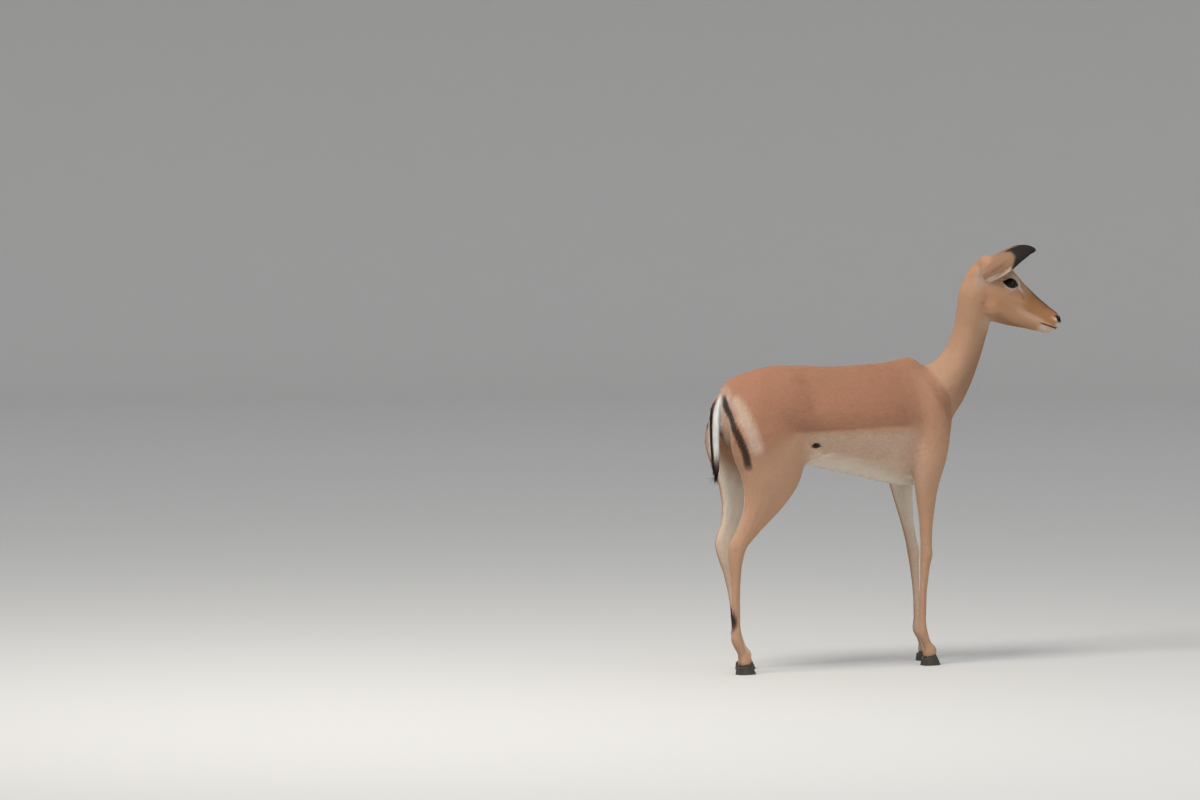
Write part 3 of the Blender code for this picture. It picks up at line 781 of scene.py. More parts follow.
def saddle_mask(p, on_neck):
    """Full on the back; fades over the croup and shoulder, and is weak in front of the shoulder's crease."""
    x, z = p[:, 0], p[:, 2]
    edge = SADDLE_EDGE_REAR + (SADDLE_EDGE_FRONT - SADDLE_EDGE_REAR) * smooth_step(-0.27, 0.04, x)
    edge = edge - 0.060 * smooth_step(-0.27, -0.40, x) - 0.030 * smooth_step(0.06, 0.16, x)
    fade = 0.006 + 0.050 * smooth_step(-0.26, -0.36, x) + 0.065 * smooth_step(0.05, 0.13, x)
    mask = smooth_step(-1, 1, (z - edge) / fade)
    crease_x = np.interp(z, [place[2] for place in CREASE[::-1]], [place[0] for place in CREASE[::-1]])
    weaker = 1 - 0.34 * smooth_step(0.04, 0.14, x) - 0.46 * smooth_step(-0.004, 0.010, x - crease_x)
    return mask * weaker * (1 - 0.85 * on_neck)


def belly_mask(p, normals):
    """Pale under the belly and chest; a paler flank, partly coat colour and partly painted bounce light."""
    x, z = p[:, 0], p[:, 2]
    under = smooth_step(-0.52, -0.86, normals[:, 2])
    under = under * smooth_step(-0.30, -0.22, x) * smooth_step(0.24, 0.12, x)
    # the flank's pale is partly the coat's paler fawn and partly painted light, as if bounced up from the
    # ground
    flank = 0.30 * smooth_step(0.645, 0.615, z) + 0.14 * smooth_step(0.575, 0.520, z)
    flank = flank * smooth_step(0.13, 0.03, x) * smooth_step(-0.28, -0.20, x)
    return np.maximum(under * (z < 0.60), flank * (z > 0.46))


def inner_leg_mask(points, normals, on_leg):
    """Pale on the sides of the legs that face each other, most so high up."""
    side = np.sign(points[:, 1] - MIDDLE_Y)
    inwards = -normals[:, 1] * side
    upper = smooth_step(0.25, 0.50, points[:, 2])
    return smooth_step(-0.05, 0.55, inwards) * (0.40 + 0.60 * upper) * on_leg


def stripe_mask(p):
    """The black stripe down the buttock."""
    near = smooth_step(0.0125, 0.0080, distance_to_path(p, STRIPE))
    return 0.92 * near * smooth_step(0.530, 0.560, p[:, 2])


def rump_mask(p):
    """Pale band along the outer side of the black stripe, and the paler buttock within it."""
    band = 0.40 * smooth_step(0.030, 0.006, distance_to_path(p, PALE_BESIDE))
    buttock = 0.32 * smooth_step(-0.436, -0.452, p[:, 0]) * smooth_step(0.085, 0.060, p[:, 1])
    return np.maximum(band, buttock) * smooth_step(0.54, 0.61, p[:, 2])


def heel_tuft_mask(points):
    """The black tuft above each hind heel."""
    mask = np.zeros(len(points))
    for leg in ("hindleg_left", "hindleg_right"):
        heel = feet[leg] + np.array((-0.052, 0, 0.125))
        mask += bump_at(points, heel, (0.024, 0.022, 0.030))
    return smooth_step(0.25, 0.65, mask)


tail_low, tail_high = (np.array(corner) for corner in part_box("tail"))


def tail_masks(points, on_tail):
    """The tail's black midline and its white fringe."""
    across = np.abs(points[:, 1] - MIDDLE_Y)
    down = (tail_high[2] - points[:, 2]) / (tail_high[2] - tail_low[2])
    line = smooth_step(0.0095, 0.0055, across) * smooth_step(0.06, 0.14, down)
    end = smooth_step(0.74, 0.84, down)
    fringe = smooth_step(0.005, 0.011, across) * (1 - end)
    rear = points[:, 0] < tail_high[0] - 0.010
    return np.maximum(line * rear, 0.92 * end) * on_tail, fringe * on_tail


print("saddle edge at", SADDLE_EDGE_REAR, "to", SADDLE_EDGE_FRONT, "m")


# %% Masks of the face and ears
BROW = (
    (0.046, 0.045, 0.034), (0.060, 0.044, 0.030), (0.079, 0.038, 0.029), (0.090, 0.027, 0.031),
    (0.096, 0.018, 0.033), (0.108, 0.013, 0.031),
)
PALE_BAND = ((0.128, -0.038, 0.034), (0.150, -0.039, 0.029), (0.186, -0.037, 0.025))
TEAR_LINE = ((0.092, 0.022, 0.036), (0.104, 0.008, 0.034), (0.118, -0.002, 0.032))
LEAST_DUSK, LEAST_RUFOUS = 0.05, 0.36


def eye_ring_mask(points, low, high):
    """Round each eye, from one distance off the opening's edge to another."""
    edge = eye_opening(points)
    near = np.zeros(len(points))
    for side, centre in eye_at.items():
        q = points - centre
        outer = (q @ head_left) * side > 0
        near = np.maximum(near, outer * smooth_step(0.038, 0.030, np.linalg.norm(q, axis=1)))
    past_low = smooth_step(low - 0.0012, low + 0.0008, edge)
    return near * past_low * smooth_step(high + 0.002, high - 0.002, edge)


def pale_of_head(q):
    """Pale brow, lips and chin, and a soft band along the cheek; q is u, v and distance to the side."""
    u, v, _ = q.T
    chin = smooth_step(0.180, 0.200, u) * smooth_step(0.000, -0.005, v - mouth_line(u))
    lip = bump_at(q, (0.236, -0.022, 0.014), (0.010, 0.0065, 0.02))
    nostril_rim = 0.7 * bump_at(q, (0.222, -0.012, 0.020), (0.011, 0.0035, 0.012))
    above_eye = bump_at(q, (0.050, 0.036, 0.040), (0.020, 0.008, 0.012))
    return np.max([
        0.75 * smooth_step(0.0070, 0.0024, distance_to_path(q, BROW)),
        0.15 * smooth_step(0.016, 0.003, distance_to_path(q, PALE_BAND)),
        0.55 * chin,
        0.85 * lip,
        nostril_rim,
        0.45 * above_eye,
        0.28 * bump_at(q, (0.045, -0.108, 0.0), (0.050, 0.030, 0.022)),  # throat
    ], axis=0)


def dusk_and_rufous(q):
    """The dark line down the nose, the redder sides of the muzzle and jaw, and painted shade under the jaw.
    """
    u, v, side = q.T
    bridge = smooth_step(0.013, 0.004, side) * smooth_step(0.080, 0.150, u) * smooth_step(0.224, 0.210, u)
    tear = smooth_step(0.0065, 0.002, distance_to_path(q, TEAR_LINE))
    muzzle = smooth_step(0.098, 0.140, u) * smooth_step(-0.036, -0.024, v) * smooth_step(0.236, 0.222, u)
    jaw = smooth_step(-0.055, -0.080, v) * smooth_step(0.05, 0.09, u) * smooth_step(0.20, 0.17, u)
    cheek = bump_at(q, (0.075, -0.040, 0.045), (0.050, 0.040, 0.040))
    # the jaw's share of the dusk is painted shade on the jaw's underside
    dusk = np.max([0.85 * bridge * (v > -0.02), 0.40 * tear, 0.10 * muzzle, 0.30 * jaw], axis=0)
    rufous = np.max([0.95 * muzzle, 0.70 * jaw, 0.55 * cheek], axis=0)
    return np.maximum(dusk, LEAST_DUSK), np.maximum(rufous, LEAST_RUFOUS)


def bare_skin(points, q):
    """Black skin: the lids' rims, the nose between and round the nostrils, and the line of the lips."""
    u, v, side = q.T
    a, _ = turned(u - OPENING_U, v - OPENING_V, LID_TILT)
    to_corner = np.minimum(np.abs(a) / OPENING_LENGTH, 1.1)
    rims = eye_ring_mask(points, -0.02, 0.0019 + 0.0020 * to_corner**4)
    half_width = 0.0009 + 0.0105 * smooth_step(-0.0225, -0.0020, v)
    pad = smooth_step(half_width + 0.0012, half_width - 0.0004, side) * smooth_step(0.0050, 0.0025, v)
    pad = pad * smooth_step(0.221, 0.227, u) * (v > -0.036)
    from_nostril = np.hypot((u - 0.2305) / 0.0088, (v + 0.0080) / 0.0064)
    beside = smooth_step(1.15, 0.92, from_nostril) * smooth_step(0.001, 0.004, side)
    lips = np.exp(-(((v - mouth_line(u)) / 0.0019) ** 2))
    lips = lips * smooth_step(MOUTH_CORNER - 0.008, MOUTH_CORNER + 0.006, u)
    holes = smooth_step(0.10, 0.45, nostril_depth(points))
    return np.max([rims, pad, beside, lips, holes], axis=0)


def head_masks(points, on_head):
    """Pale, dusk, bare skin and rufous of the face."""
    u, v, w = head_place(points)
    q = np.stack([u, v, np.abs(w)], 1)
    ring = 0.62 * eye_ring_mask(points, 0.0024, 0.0070)
    below = 0.34 * eye_ring_mask(points, 0.0024, 0.0120) * smooth_step(0.020, 0.004, v)
    pale = np.max([ring, below, pale_of_head(q)], axis=0)
    dusk, rufous = dusk_and_rufous(q)
    bare = bare_skin(points, q)
    return pale * on_head, dusk * on_head, bare * on_head, rufous * on_head


def ear_masks(points, normals, on_ear):
    """Pale lining and rim, olive back and black end; a grey patch lies behind the root.

    The black reaches further down along the middle of the back and at both rims than it does between them.
    Painted shade darkens a fold across the back, and deepens the canal below the cup, whose skin is dark too.
    """
    pale, black, dusk, inner = (np.zeros(len(points)) for _ in range(4))
    for side, name in ((1, "ear_left"), (-1, "ear_right")):
        root, along, opening = ears[name]
        t, around = ear_place(points, name)
        around = np.abs(around)
        mine = on_ear * (np.sign((points - poll) @ head_left) == side)
        inside = smooth_step(-0.1, 0.35, normals @ opening)
        rim = smooth_step(0.86, 0.95, around)
        end = smooth_step(-0.030, 0.030, t - 0.66 + 0.66 * (np.minimum(around, 0.93) - 0.53) ** 2)
        # painted shade in the fold across the ear's back
        fold = np.exp(-(((around - 0.62) / 0.07) ** 2))
        fold = fold * smooth_step(0.12, 0.24, t) * smooth_step(0.55, 0.40, t)
        black += mine * end
        pale += mine * (1 - end) * np.maximum(0.72 * inside, 0.70 * rim)
        dusk += mine * (1 - end) * (1 - inside) * (1 - rim) * (0.46 + 0.20 * t + 0.26 * fold)
        inner += mine * inside
        low = from_head(EAR_ROOT[0] - 0.004, EAR_ROOT[1] - 0.030, side * (EAR_ROOT[2] + 0.012))
        behind = bump_at(points, low, (0.012, 0.012, 0.024))
        pale += 0.55 * behind
        black += 0.42 * behind
        # the canal's own dark skin, darkened further with painted shade in its hollow
        canal = bump_at(points, root + along * 0.030 + opening * 0.012, (0.026, 0.026, 0.026))
        dusk += 0.85 * canal * (1 - on_ear) * smooth_step(-0.2, 0.3, normals @ opening)
    return pale, black, dusk, inner


def flank_shadow_mask(p):
    """Painted shadow, near black, in the hollow in front of the stifle: arched above, nearly level below."""
    dx = p[:, 0] - FLANK_SHADOW_PLACE[0]
    top = FLANK_SHADOW_PLACE[2] + 0.0090 - 42.0 * dx * dx
    low = FLANK_SHADOW_PLACE[2] - 0.0070 + 12.0 * dx * dx + 0.10 * np.abs(dx)
    return smooth_step(-0.0010, 0.0016, np.minimum(top - p[:, 2], p[:, 2] - low)) * (p[:, 1] > 0.05)


def body_dusk(p):
    """A little shade at the hip bone, in the shoulder's crease and in the flank's hollow."""
    hip, _ = from_line(p, (-0.262, 0.024, 0.795), (-0.236, 0.052, 0.770))
    crease = distance_to_path(p, CREASE)
    hollow = bump_at(p, (-0.232, 0.092, 0.700), (0.024, 0.05, 0.050))
    return np.max([
        0.20 * np.exp(-((hip / 0.008) ** 2)),
        0.12 * np.exp(-((crease / 0.006) ** 2)),
        0.09 * hollow,
    ], axis=0)


def all_masks():
    """Every mask by name, and apart from them the inside of the ears."""
    p = mirrored(skin_points)
    on_neck, on_head, on_leg = share_of("neck"), share_of("head"), share_of("leg")
    on_tail, on_ear = share_of("tail"), share_of("ear")
    body = np.clip(1 - on_head - on_ear - on_tail, 0, 1)
    tail_black, tail_white = tail_masks(skin_points, on_tail)
    head_pale, head_dusk, bare, rufous = head_masks(skin_points, np.clip(on_head + on_neck, 0, 1))
    ear_pale, ear_black, ear_dusk, inner = ear_masks(skin_points, skin_normals, on_ear)
    stripe, rump, flank_shadow = (mask(p) * body for mask in (stripe_mask, rump_mask, flank_shadow_mask))
    pale = [
        belly_mask(p, skin_normals) * body,
        inner_leg_mask(skin_points, skin_normals, on_leg),
        rump,
        0.08 * on_neck,
        head_pale,
        ear_pale,
        0.60 * bump_at(p, (-0.210, 0.080, 0.572), (0.036, 0.030, 0.016)),
    ]
    masks = {
        "saddle": saddle_mask(p, np.clip(on_neck + on_head, 0, 1)) * body,
        "rufous": rufous,
        "pale": np.max(pale, axis=0),
        "white": tail_white,
        # the black also carries the painted shadow in the hollow in front of the stifle
        "black": np.max([stripe, tail_black, heel_tuft_mask(skin_points), ear_black, flank_shadow], axis=0),
        "dusk": np.max([body_dusk(p) * body, head_dusk, ear_dusk], axis=0),
        "bare": bare,
    }
    zones = {"on_neck": on_neck, "on_head": on_head, "on_leg": on_leg}
    return {name: np.clip(values, 0, 1) for name, values in {**masks, **zones}.items()}, inner


def add_values(mesh, name, values):
    layer = mesh.attributes.new(name, "FLOAT", "POINT")
    layer.data.foreach_set("value", np.ascontiguousarray(values, dtype=np.float32))


masks, in_ear = all_masks()
for mask_name, mask in masks.items():
    add_values(skin_mesh, mask_name, mask)
print("mean of each mask:", {name: round(float(mask.mean()), 3) for name, mask in masks.items()})


# %% [markdown]
# ## Colours and hair grain
#
# The colour of a place comes from the masks in a fixed order: fawn first, then saddle, rufous, dusk, pale,
# white and black over it, and bare skin last. Before each is used, fine streaks push it up or down, so that
# its edge breaks up into single hairs. The streaks are noise stretched along the hair. Trunk, neck, head and
# legs each stretch it in their own direction, and the zone masks choose between them.

# %% Helpers for shader trees
COAT_COLOURS = {
    "fawn": (0.455, 0.268, 0.170),
    "saddle": (0.330, 0.160, 0.096),
    "rufous": (0.330, 0.155, 0.066),
    "dusk": (0.130, 0.066, 0.034),
    "pale": (0.660, 0.580, 0.490),
    "white": (0.740, 0.730, 0.710),
    "black": (0.014, 0.010, 0.008),
    "bare": (0.016, 0.013, 0.012),
}


def add_node(tree, kind, links=(), **settings):
    """A node with settings, and inputs linked from sockets or set to values."""
    made = tree.nodes.new(kind)
    for key, value in settings.items():
        setattr(made, key, value)
    for key, value in dict(links).items():
        if isinstance(value, bpy.types.NodeSocket):
            tree.links.new(value, made.inputs[key])
        else:
            made.inputs[key].default_value = value
    return made


def new_group(name, inputs, outputs):
    tree = bpy.data.node_groups.new(name, "ShaderNodeTree")
    for socket, kind in inputs:
        tree.interface.new_socket(socket, in_out="INPUT", socket_type=kind)
    for socket, kind in outputs:
        tree.interface.new_socket(socket, in_out="OUTPUT", socket_type=kind)
    return tree, tree.nodes.new("NodeGroupInput"), tree.nodes.new("NodeGroupOutput")


def maths(tree, operation, *values, clamp=False):
    made = add_node(tree, "ShaderNodeMath", enumerate(values), operation=operation, use_clamp=clamp)
    return made.outputs[0]


def around_half(tree, value, gain):
    """How far a value lies from one half, times a gain."""
    return maths(tree, "MULTIPLY", maths(tree, "SUBTRACT", value, 0.5), gain)


def blend(tree, share, first, second):
    """Colour first where share is 0 and second where it is 1."""
    made = add_node(tree, "ShaderNodeMix", data_type="RGBA")
    for socket, value in ((0, share), (6, first), (7, second)):
        if isinstance(value, bpy.types.NodeSocket):
            tree.links.new(value, made.inputs[socket])
        else:
            made.inputs[socket].default_value = value
    return made.outputs[2]


def attribute(tree, name):
    """A mask of the mesh as a shader value."""
    return add_node(tree, "ShaderNodeAttribute", attribute_name=name).outputs["Fac"]


# %% Streaks that follow the hair
STREAK = {
    # length and width of a streak
    "on_body": (0.012, 0.0011),
    "on_neck": (0.011, 0.0011),
    "on_head": (0.005, 0.0007),
    "on_leg": (0.007, 0.0008),
}
ZONE_SOCKETS = {"on_neck": "On Neck", "on_head": "On Head", "on_leg": "On Leg"}


def frame_turn(along):
    """The turn that lays x along the hair."""
    across = unit(np.cross((0.0, 0.36, 0.93), along))
    return Matrix((along, across, np.cross(along, across))).transposed().to_euler()


def streak_noise(tree, place, along, length, width, detail):
    """Noise stretched along the hair."""
    laid = {"Vector": place, "Rotation": frame_turn(along), "Scale": (length, width, width)}
    lay = add_node(tree, "ShaderNodeMapping", laid, vector_type="TEXTURE")
    grain = {"Vector": lay.outputs[0], "Scale": 1.0, "Detail": detail, "Roughness": 0.6}
    return add_node(tree, "ShaderNodeTexNoise", grain).outputs["Fac"]


def streaks_group():
    """The streaks of all four zones, and the choice between them."""
    inputs = [(socket, "NodeSocketFloat") for socket in ZONE_SOCKETS.values()]
    tree, entry, result = new_group("hair_streaks", inputs, [("Streak", "NodeSocketFloat")])
    place = add_node(tree, "ShaderNodeTexCoord").outputs["Object"]
    ways = {
        "on_body": unit(np.array((-1.0, 0.0, -0.30))),
        "on_neck": NECK_DOWN,
        "on_head": -head_forward,
        "on_leg": np.array((-0.12, 0.0, -0.99)),
    }
    layers = {zone: streak_noise(tree, place, ways[zone], *size, 2.0) for zone, size in STREAK.items()}
    streak = layers["on_body"]
    for zone, socket in ZONE_SOCKETS.items():
        mixed = add_node(tree, "ShaderNodeMix", data_type="FLOAT")
        tree.links.new(entry.outputs[socket], mixed.inputs[0])
        tree.links.new(streak, mixed.inputs[2])
        tree.links.new(layers[zone], mixed.inputs[3])
        streak = mixed.outputs[0]
    tree.links.new(streak, result.inputs["Streak"])
    return tree


streaks = streaks_group()
print("streak lengths and widths:", STREAK)


# %% Colours from the masks
MASKS = ("saddle", "rufous", "dusk", "pale", "white", "black", "bare")


def colours_group():
    inputs = [(name.capitalize(), "NodeSocketFloat") for name in (*MASKS, "strand")]
    outputs = [("Color", "NodeSocketColor"), ("Bare", "NodeSocketFloat")]
    tree, entry, result = new_group("coat_colours", inputs, outputs)
    place = add_node(tree, "ShaderNodeTexCoord").outputs["Object"]
    soft_patches = {"Vector": place, "Scale": 26.0, "Detail": 3.0}
    cloud = add_node(tree, "ShaderNodeTexNoise", soft_patches).outputs["Fac"]
    strand = entry.outputs["Strand"]
    push = maths(tree, "ADD", around_half(tree, strand, 0.30), around_half(tree, cloud, 0.22))
    colour = (*COAT_COLOURS["fawn"], 1)
    for name in MASKS[:-1]:
        mask = entry.outputs[name.capitalize()]
        room = maths(tree, "MULTIPLY", mask, maths(tree, "SUBTRACT", 1.0, mask))
        room = maths(tree, "MULTIPLY", room, 4.0)
        broken = maths(tree, "ADD", mask, maths(tree, "MULTIPLY", room, push), clamp=True)
        colour = blend(tree, broken, colour, (*COAT_COLOURS[name], 1))
    shade = maths(tree, "ADD", maths(tree, "MULTIPLY", strand, 0.26), 0.87)
    shade = maths(tree, "ADD", shade, around_half(tree, cloud, 0.10))
    tint = add_node(tree, "ShaderNodeVectorMath", {0: colour, 3: shade}, operation="SCALE").outputs[0]
    final = blend(tree, entry.outputs["Bare"], tint, (*COAT_COLOURS["bare"], 1))
    tree.links.new(final, result.inputs["Color"])
    tree.links.new(entry.outputs["Bare"], result.inputs["Bare"])
    return tree


colours = colours_group()
print("colours in their order:", ", ".join(COAT_COLOURS))


# %% The two materials of the coat
def new_material(name):
    material = bpy.data.materials.new(name)
    material.use_nodes = True
    return material, material.node_tree, material.node_tree.nodes["Principled BSDF"]


def use_colours(tree, strand):
    """A node of the coat's colours, fed with the mesh's masks."""
    links = {name.capitalize(): attribute(tree, name) for name in MASKS}
    links["Strand"] = strand
    group = tree.nodes.new("ShaderNodeGroup")
    group.node_tree = colours
    for socket, source in links.items():
        tree.links.new(source, group.inputs[socket])
    return group


def skin_material():
    """Short flat fur as colour and relief, wet black skin where it is bare."""
    material, tree, shader = new_material("skin_fur")
    grain = tree.nodes.new("ShaderNodeGroup")
    grain.node_tree = streaks
    for zone, socket in ZONE_SOCKETS.items():
        tree.links.new(attribute(tree, zone), grain.inputs[socket])
    streak = grain.outputs["Streak"]
    wide = maths(tree, "ADD", around_half(tree, streak, 1.4), 0.5, clamp=True)
    coat = use_colours(tree, wide)
    tree.links.new(coat.outputs["Color"], shader.inputs["Base Color"])
    rough = maths(tree, "SUBTRACT", 0.72, maths(tree, "MULTIPLY", coat.outputs["Bare"], 0.34))
    tree.links.new(rough, shader.inputs["Roughness"])
    place = add_node(tree, "ShaderNodeTexCoord").outputs["Object"]
    pores = add_node(tree, "ShaderNodeTexVoronoi", {"Vector": place, "Scale": 900.0}).outputs["Distance"]
    height = add_node(tree, "ShaderNodeMix", data_type="FLOAT")
    for socket, source in ((0, coat.outputs["Bare"]), (2, wide), (3, pores)):
        tree.links.new(source, height.inputs[socket])
    raised = {"Height": height.outputs[0], "Strength": 0.40, "Distance": 0.0007}
    tree.links.new(add_node(tree, "ShaderNodeBump", raised).outputs[0], shader.inputs["Normal"])
    shader.inputs["Specular IOR Level"].default_value = 0.18
    return material


def hair_material():
    """The tufts: the same colours, each tuft a little lighter or darker than its neighbours."""
    material, tree, shader = new_material("hair")
    coat = use_colours(tree, attribute(tree, "strand"))
    tree.links.new(coat.outputs["Color"], shader.inputs["Base Color"])
    shader.inputs["Roughness"].default_value = 0.62
    shader.inputs["Specular IOR Level"].default_value = 0.13
    return material


skin_mesh.materials.clear()
skin_mesh.materials.append(skin_material())
hair = hair_material()
print("materials:", [m.name for m in bpy.data.materials])


# %% [markdown]
# ## The coat
#
# An impala's coat is short, flat and sleek. Each tuft here is a narrow roof-shaped blade: two sloping faces
# that meet in a ridge and run to a point. Its root is sunk in the skin and its tip lies on the tufts behind
# it. Hair particles would not leave with the exported part, so the coat is plain mesh. The tufts are shortest
# on the face and feet, longer on the belly, the back of the thigh, above the hind heels, at the hooves'
# hairline and inside the ear, and longest on the tail.

# %% Length of the hair
LENGTHS = {"trunk": 0.0115, "neck": 0.0105, "head": 0.0050, "ear": 0.0055, "tail": 0.026, "leg": 0.0078}
LIDS_REACH, LENGTH_AT_LIDS, GROWTH_FROM_LIDS = 0.045, 0.0014, 0.28


def hairline_share():
    """1 just above the hooves, where the hair hangs over the horn."""
    return share_of("leg") * smooth_step(HOOF_TOP + 0.010, HOOF_TOP + 0.001, skin_points[:, 2])


def hair_lengths():
    """Length by part of the body, longer or shorter where the real coat is, and at markings' edges."""
    base = soft_shares @ for_each_part(LENGTHS)
    p = mirrored(skin_points)
    u, _, _ = head_place(skin_points)
    belly = smooth_step(-0.3, -0.9, skin_normals[:, 2]) * share_of("trunk")
    body = share_of("trunk") + share_of("leg")
    thigh_back = smooth_step(-0.37, -0.43, p[:, 0]) * smooth_step(0.42, 0.50, p[:, 2]) * body
    heel, hairline = heel_tuft_mask(skin_points), hairline_share()
    foot = share_of("leg") * smooth_step(0.16, 0.09, skin_points[:, 2])
    muzzle = share_of("head") * smooth_step(0.10, 0.20, u)
    length = base * (1 - 0.30 * foot) * (1 - 0.40 * muzzle)
    length = length + 0.004 * belly + 0.005 * thigh_back + 0.012 * heel + 0.003 * hairline
    length = length + 0.008 * in_ear * share_of("ear") * smooth_step(0.9, 0.3, masks["black"])
    forwards = unit(head_forward * np.array((1, 1, 0)))
    length = length + 0.002 * share_of("neck") * smooth_step(0.0, 0.9, skin_normals @ forwards)
    to_eye = np.min([np.linalg.norm(skin_points - centre, axis=1) for centre in eye_at.values()], axis=0)
    beside_eye = share_of("head") * (to_eye < LIDS_REACH) > 0.5
    near_lids = LENGTH_AT_LIDS + GROWTH_FROM_LIDS * np.maximum(eye_opening(skin_points), 0)
    length = np.where(beside_eye, np.minimum(length, near_lids), length)
    near_bare = spread(masks["bare"], skin_edges, 6)
    length = length * (1 - 0.6 * smooth_step(0.03, 0.30, near_bare))
    at_edge = spread(4 * masks["black"] * (1 - masks["black"]), skin_edges, 1)
    return length * (1 - 0.35 * np.clip(at_edge, 0, 1) * body)


def hair_looseness():
    """0 where the coat lies flat; up to 1 where its tips stand clear of the body."""
    belly = smooth_step(-0.75, -0.95, skin_normals[:, 2]) * share_of("trunk")
    thigh_back = smooth_step(-0.40, -0.45, skin_points[:, 0]) * smooth_step(0.45, 0.55, skin_points[:, 2])
    tufted = share_of("tail") + heel_tuft_mask(skin_points) + hairline_share()
    return np.clip(0.4 * belly + 0.35 * thigh_back + tufted + 0.5 * in_ear, 0, 1)


skin_length, skin_loose = hair_lengths(), hair_looseness()
shortest, longest_hair = (round(float(length) * 1000, 1) for length in (skin_length.min(), skin_length.max()))
print("hair from", shortest, "to", longest_hair, "mm")


# %% Where each tuft grows
COVER, MORE_ON_TAIL = 1.15, 2.0  # tufts' area over the skin's own, and how much is added on the tail
WIDTH_SHARE, WIDTH_LEAST, WIDTH_MOST = 0.062, 0.00040, 0.0013
BALD = 0.12
MOST_TUFTS = 33000


def triangles_of(mesh):
    mesh.calc_loop_triangles()
    flat = np.empty(len(mesh.loop_triangles) * 3, int)
    mesh.loop_triangles.foreach_get("vertices", flat)
    return flat.reshape(-1, 3)


def widths_for(length):
    """Longer tufts are wider, up to a limit."""
    return np.minimum(WIDTH_LEAST + WIDTH_SHARE * length, WIDTH_MOST)


skin_triangles = triangles_of(skin_mesh)
triangle_part = hard_shares[skin_triangles[:, 0]].argmax(1)


def triangle_weights():
    """How many tufts each triangle of the skin should carry."""
    a, b, c = (skin_points[skin_triangles[:, k]] for k in range(3))
    area = np.linalg.norm(np.cross(b - a, c - a), axis=1) / 2
    length = skin_length[skin_triangles].mean(1)
    bald = masks["bare"][skin_triangles].max(1) > BALD
    cover = COVER * (1 + MORE_ON_TAIL * share_of("tail")[skin_triangles].mean(1))
    return np.where(bald, 0, cover * area / (length * widths_for(length)))


def grow(parts, side, seed):
    """Roots of the tufts on some parts of the body, with all that each tuft takes from its place."""
    rng = np.random.default_rng(seed)
    same_side = (skin_points[skin_triangles].mean(1)[:, 1] - MIDDLE_Y) * side >= 0
    chosen = np.flatnonzero(np.isin(triangle_part, parts) & same_side)
    weights = tuft_weights[chosen]
    amount = min(int(weights.sum()), MOST_TUFTS)
    picks = chosen[rng.choice(len(chosen), amount, p=weights / weights.sum())]
    r = np.sqrt(rng.random(amount))
    s = rng.random(amount)
    shares = np.stack([1 - r, r * (1 - s), r * s], 1)
    corners = skin_triangles[picks]

    def mixed(values):
        return (values[corners] * (shares if values.ndim == 1 else shares[..., None])).sum(1)

    return {
        "root": mixed(skin_points),
        "normal": unit(mixed(skin_normals)),
        "lie": mixed(skin_lie),
        "length": mixed(skin_length) * rng.uniform(0.70, 1.25, amount),
        "loose": mixed(skin_loose),
        "part": triangle_part[picks],
        "masks": {name: mixed(masks[name]) for name in MASKS},
        "rng": rng,
    }


tuft_weights = triangle_weights()
print("tufts to grow:", int(tuft_weights.sum()))


# %% A place for every tuft on an unwrapped body
UPRIGHT = np.array((0.0, 0.0, 1.0))
UNWRAP_ALONG = {"trunk": np.array((1.0, 0.0, 0.0)), "neck": -NECK_DOWN, "head": head_forward}
PATCH, MARGIN = 0.003, 0.004
UNWRAP_STOPS = 12


def part_axis(name):
    """The line a part is unwrapped along: its own length."""
    if name.startswith("ear"):
        return ears[name][1]
    return UNWRAP_ALONG.get(name, UPRIGHT)


def unwrap_part(part, roots, normals):
    """Places of roots round and along one part, each from 0 to 1, and whether the skin there is hollow."""
    axis = part_axis(FLESH[part])
    across = unit(np.cross(axis, (0.31, 0.22, 0.93) if abs(axis[2]) < 0.9 else (1.0, 0.0, 0.0)))
    third = np.cross(axis, across)
    mine = skin_points[hard_shares[:, part] > 0.5]
    along = mine @ axis
    low, high = along.min(), along.max()
    stops = np.linspace(low, high, UNWRAP_STOPS + 1)
    slot_of = np.clip(np.digitize(along, stops) - 1, 0, UNWRAP_STOPS - 1)
    count = np.maximum(np.bincount(slot_of, minlength=UNWRAP_STOPS), 1)
    mids = (stops[:-1] + stops[1:]) / 2
    centre_a = np.bincount(slot_of, mine @ across, UNWRAP_STOPS) / count
    centre_b = np.bincount(slot_of, mine @ third, UNWRAP_STOPS) / count
    t = roots @ axis
    out_a = roots @ across - np.interp(t, mids, centre_a)
    out_b = roots @ third - np.interp(t, mids, centre_b)
    round_share = np.arctan2(out_b, out_a) / (2 * math.pi) + 0.5
    hollow = (normals @ across) * out_a + (normals @ third) * out_b < 0
    return round_share, np.clip((t - low) / (high - low), 0, 1), hollow


def bake_places(tufts):
    """The lower left corner of each tuft's patch: one tile for each part, and one for its hollow side."""
    parts = sorted(set(tufts["part"].tolist()))
    columns = 2 * len(parts)
    corner = np.zeros((len(tufts["root"]), 2))
    for index, part in enumerate(parts):
        rows = np.flatnonzero(tufts["part"] == part)
        across, along, hollow = unwrap_part(part, tufts["root"][rows], tufts["normal"][rows])
        tile = (2 * index + hollow) / columns
        corner[rows, 0] = tile + MARGIN + across * (1 / columns - 2 * MARGIN - PATCH)
        corner[rows, 1] = MARGIN + along * (1 - 2 * MARGIN - PATCH)
    return corner


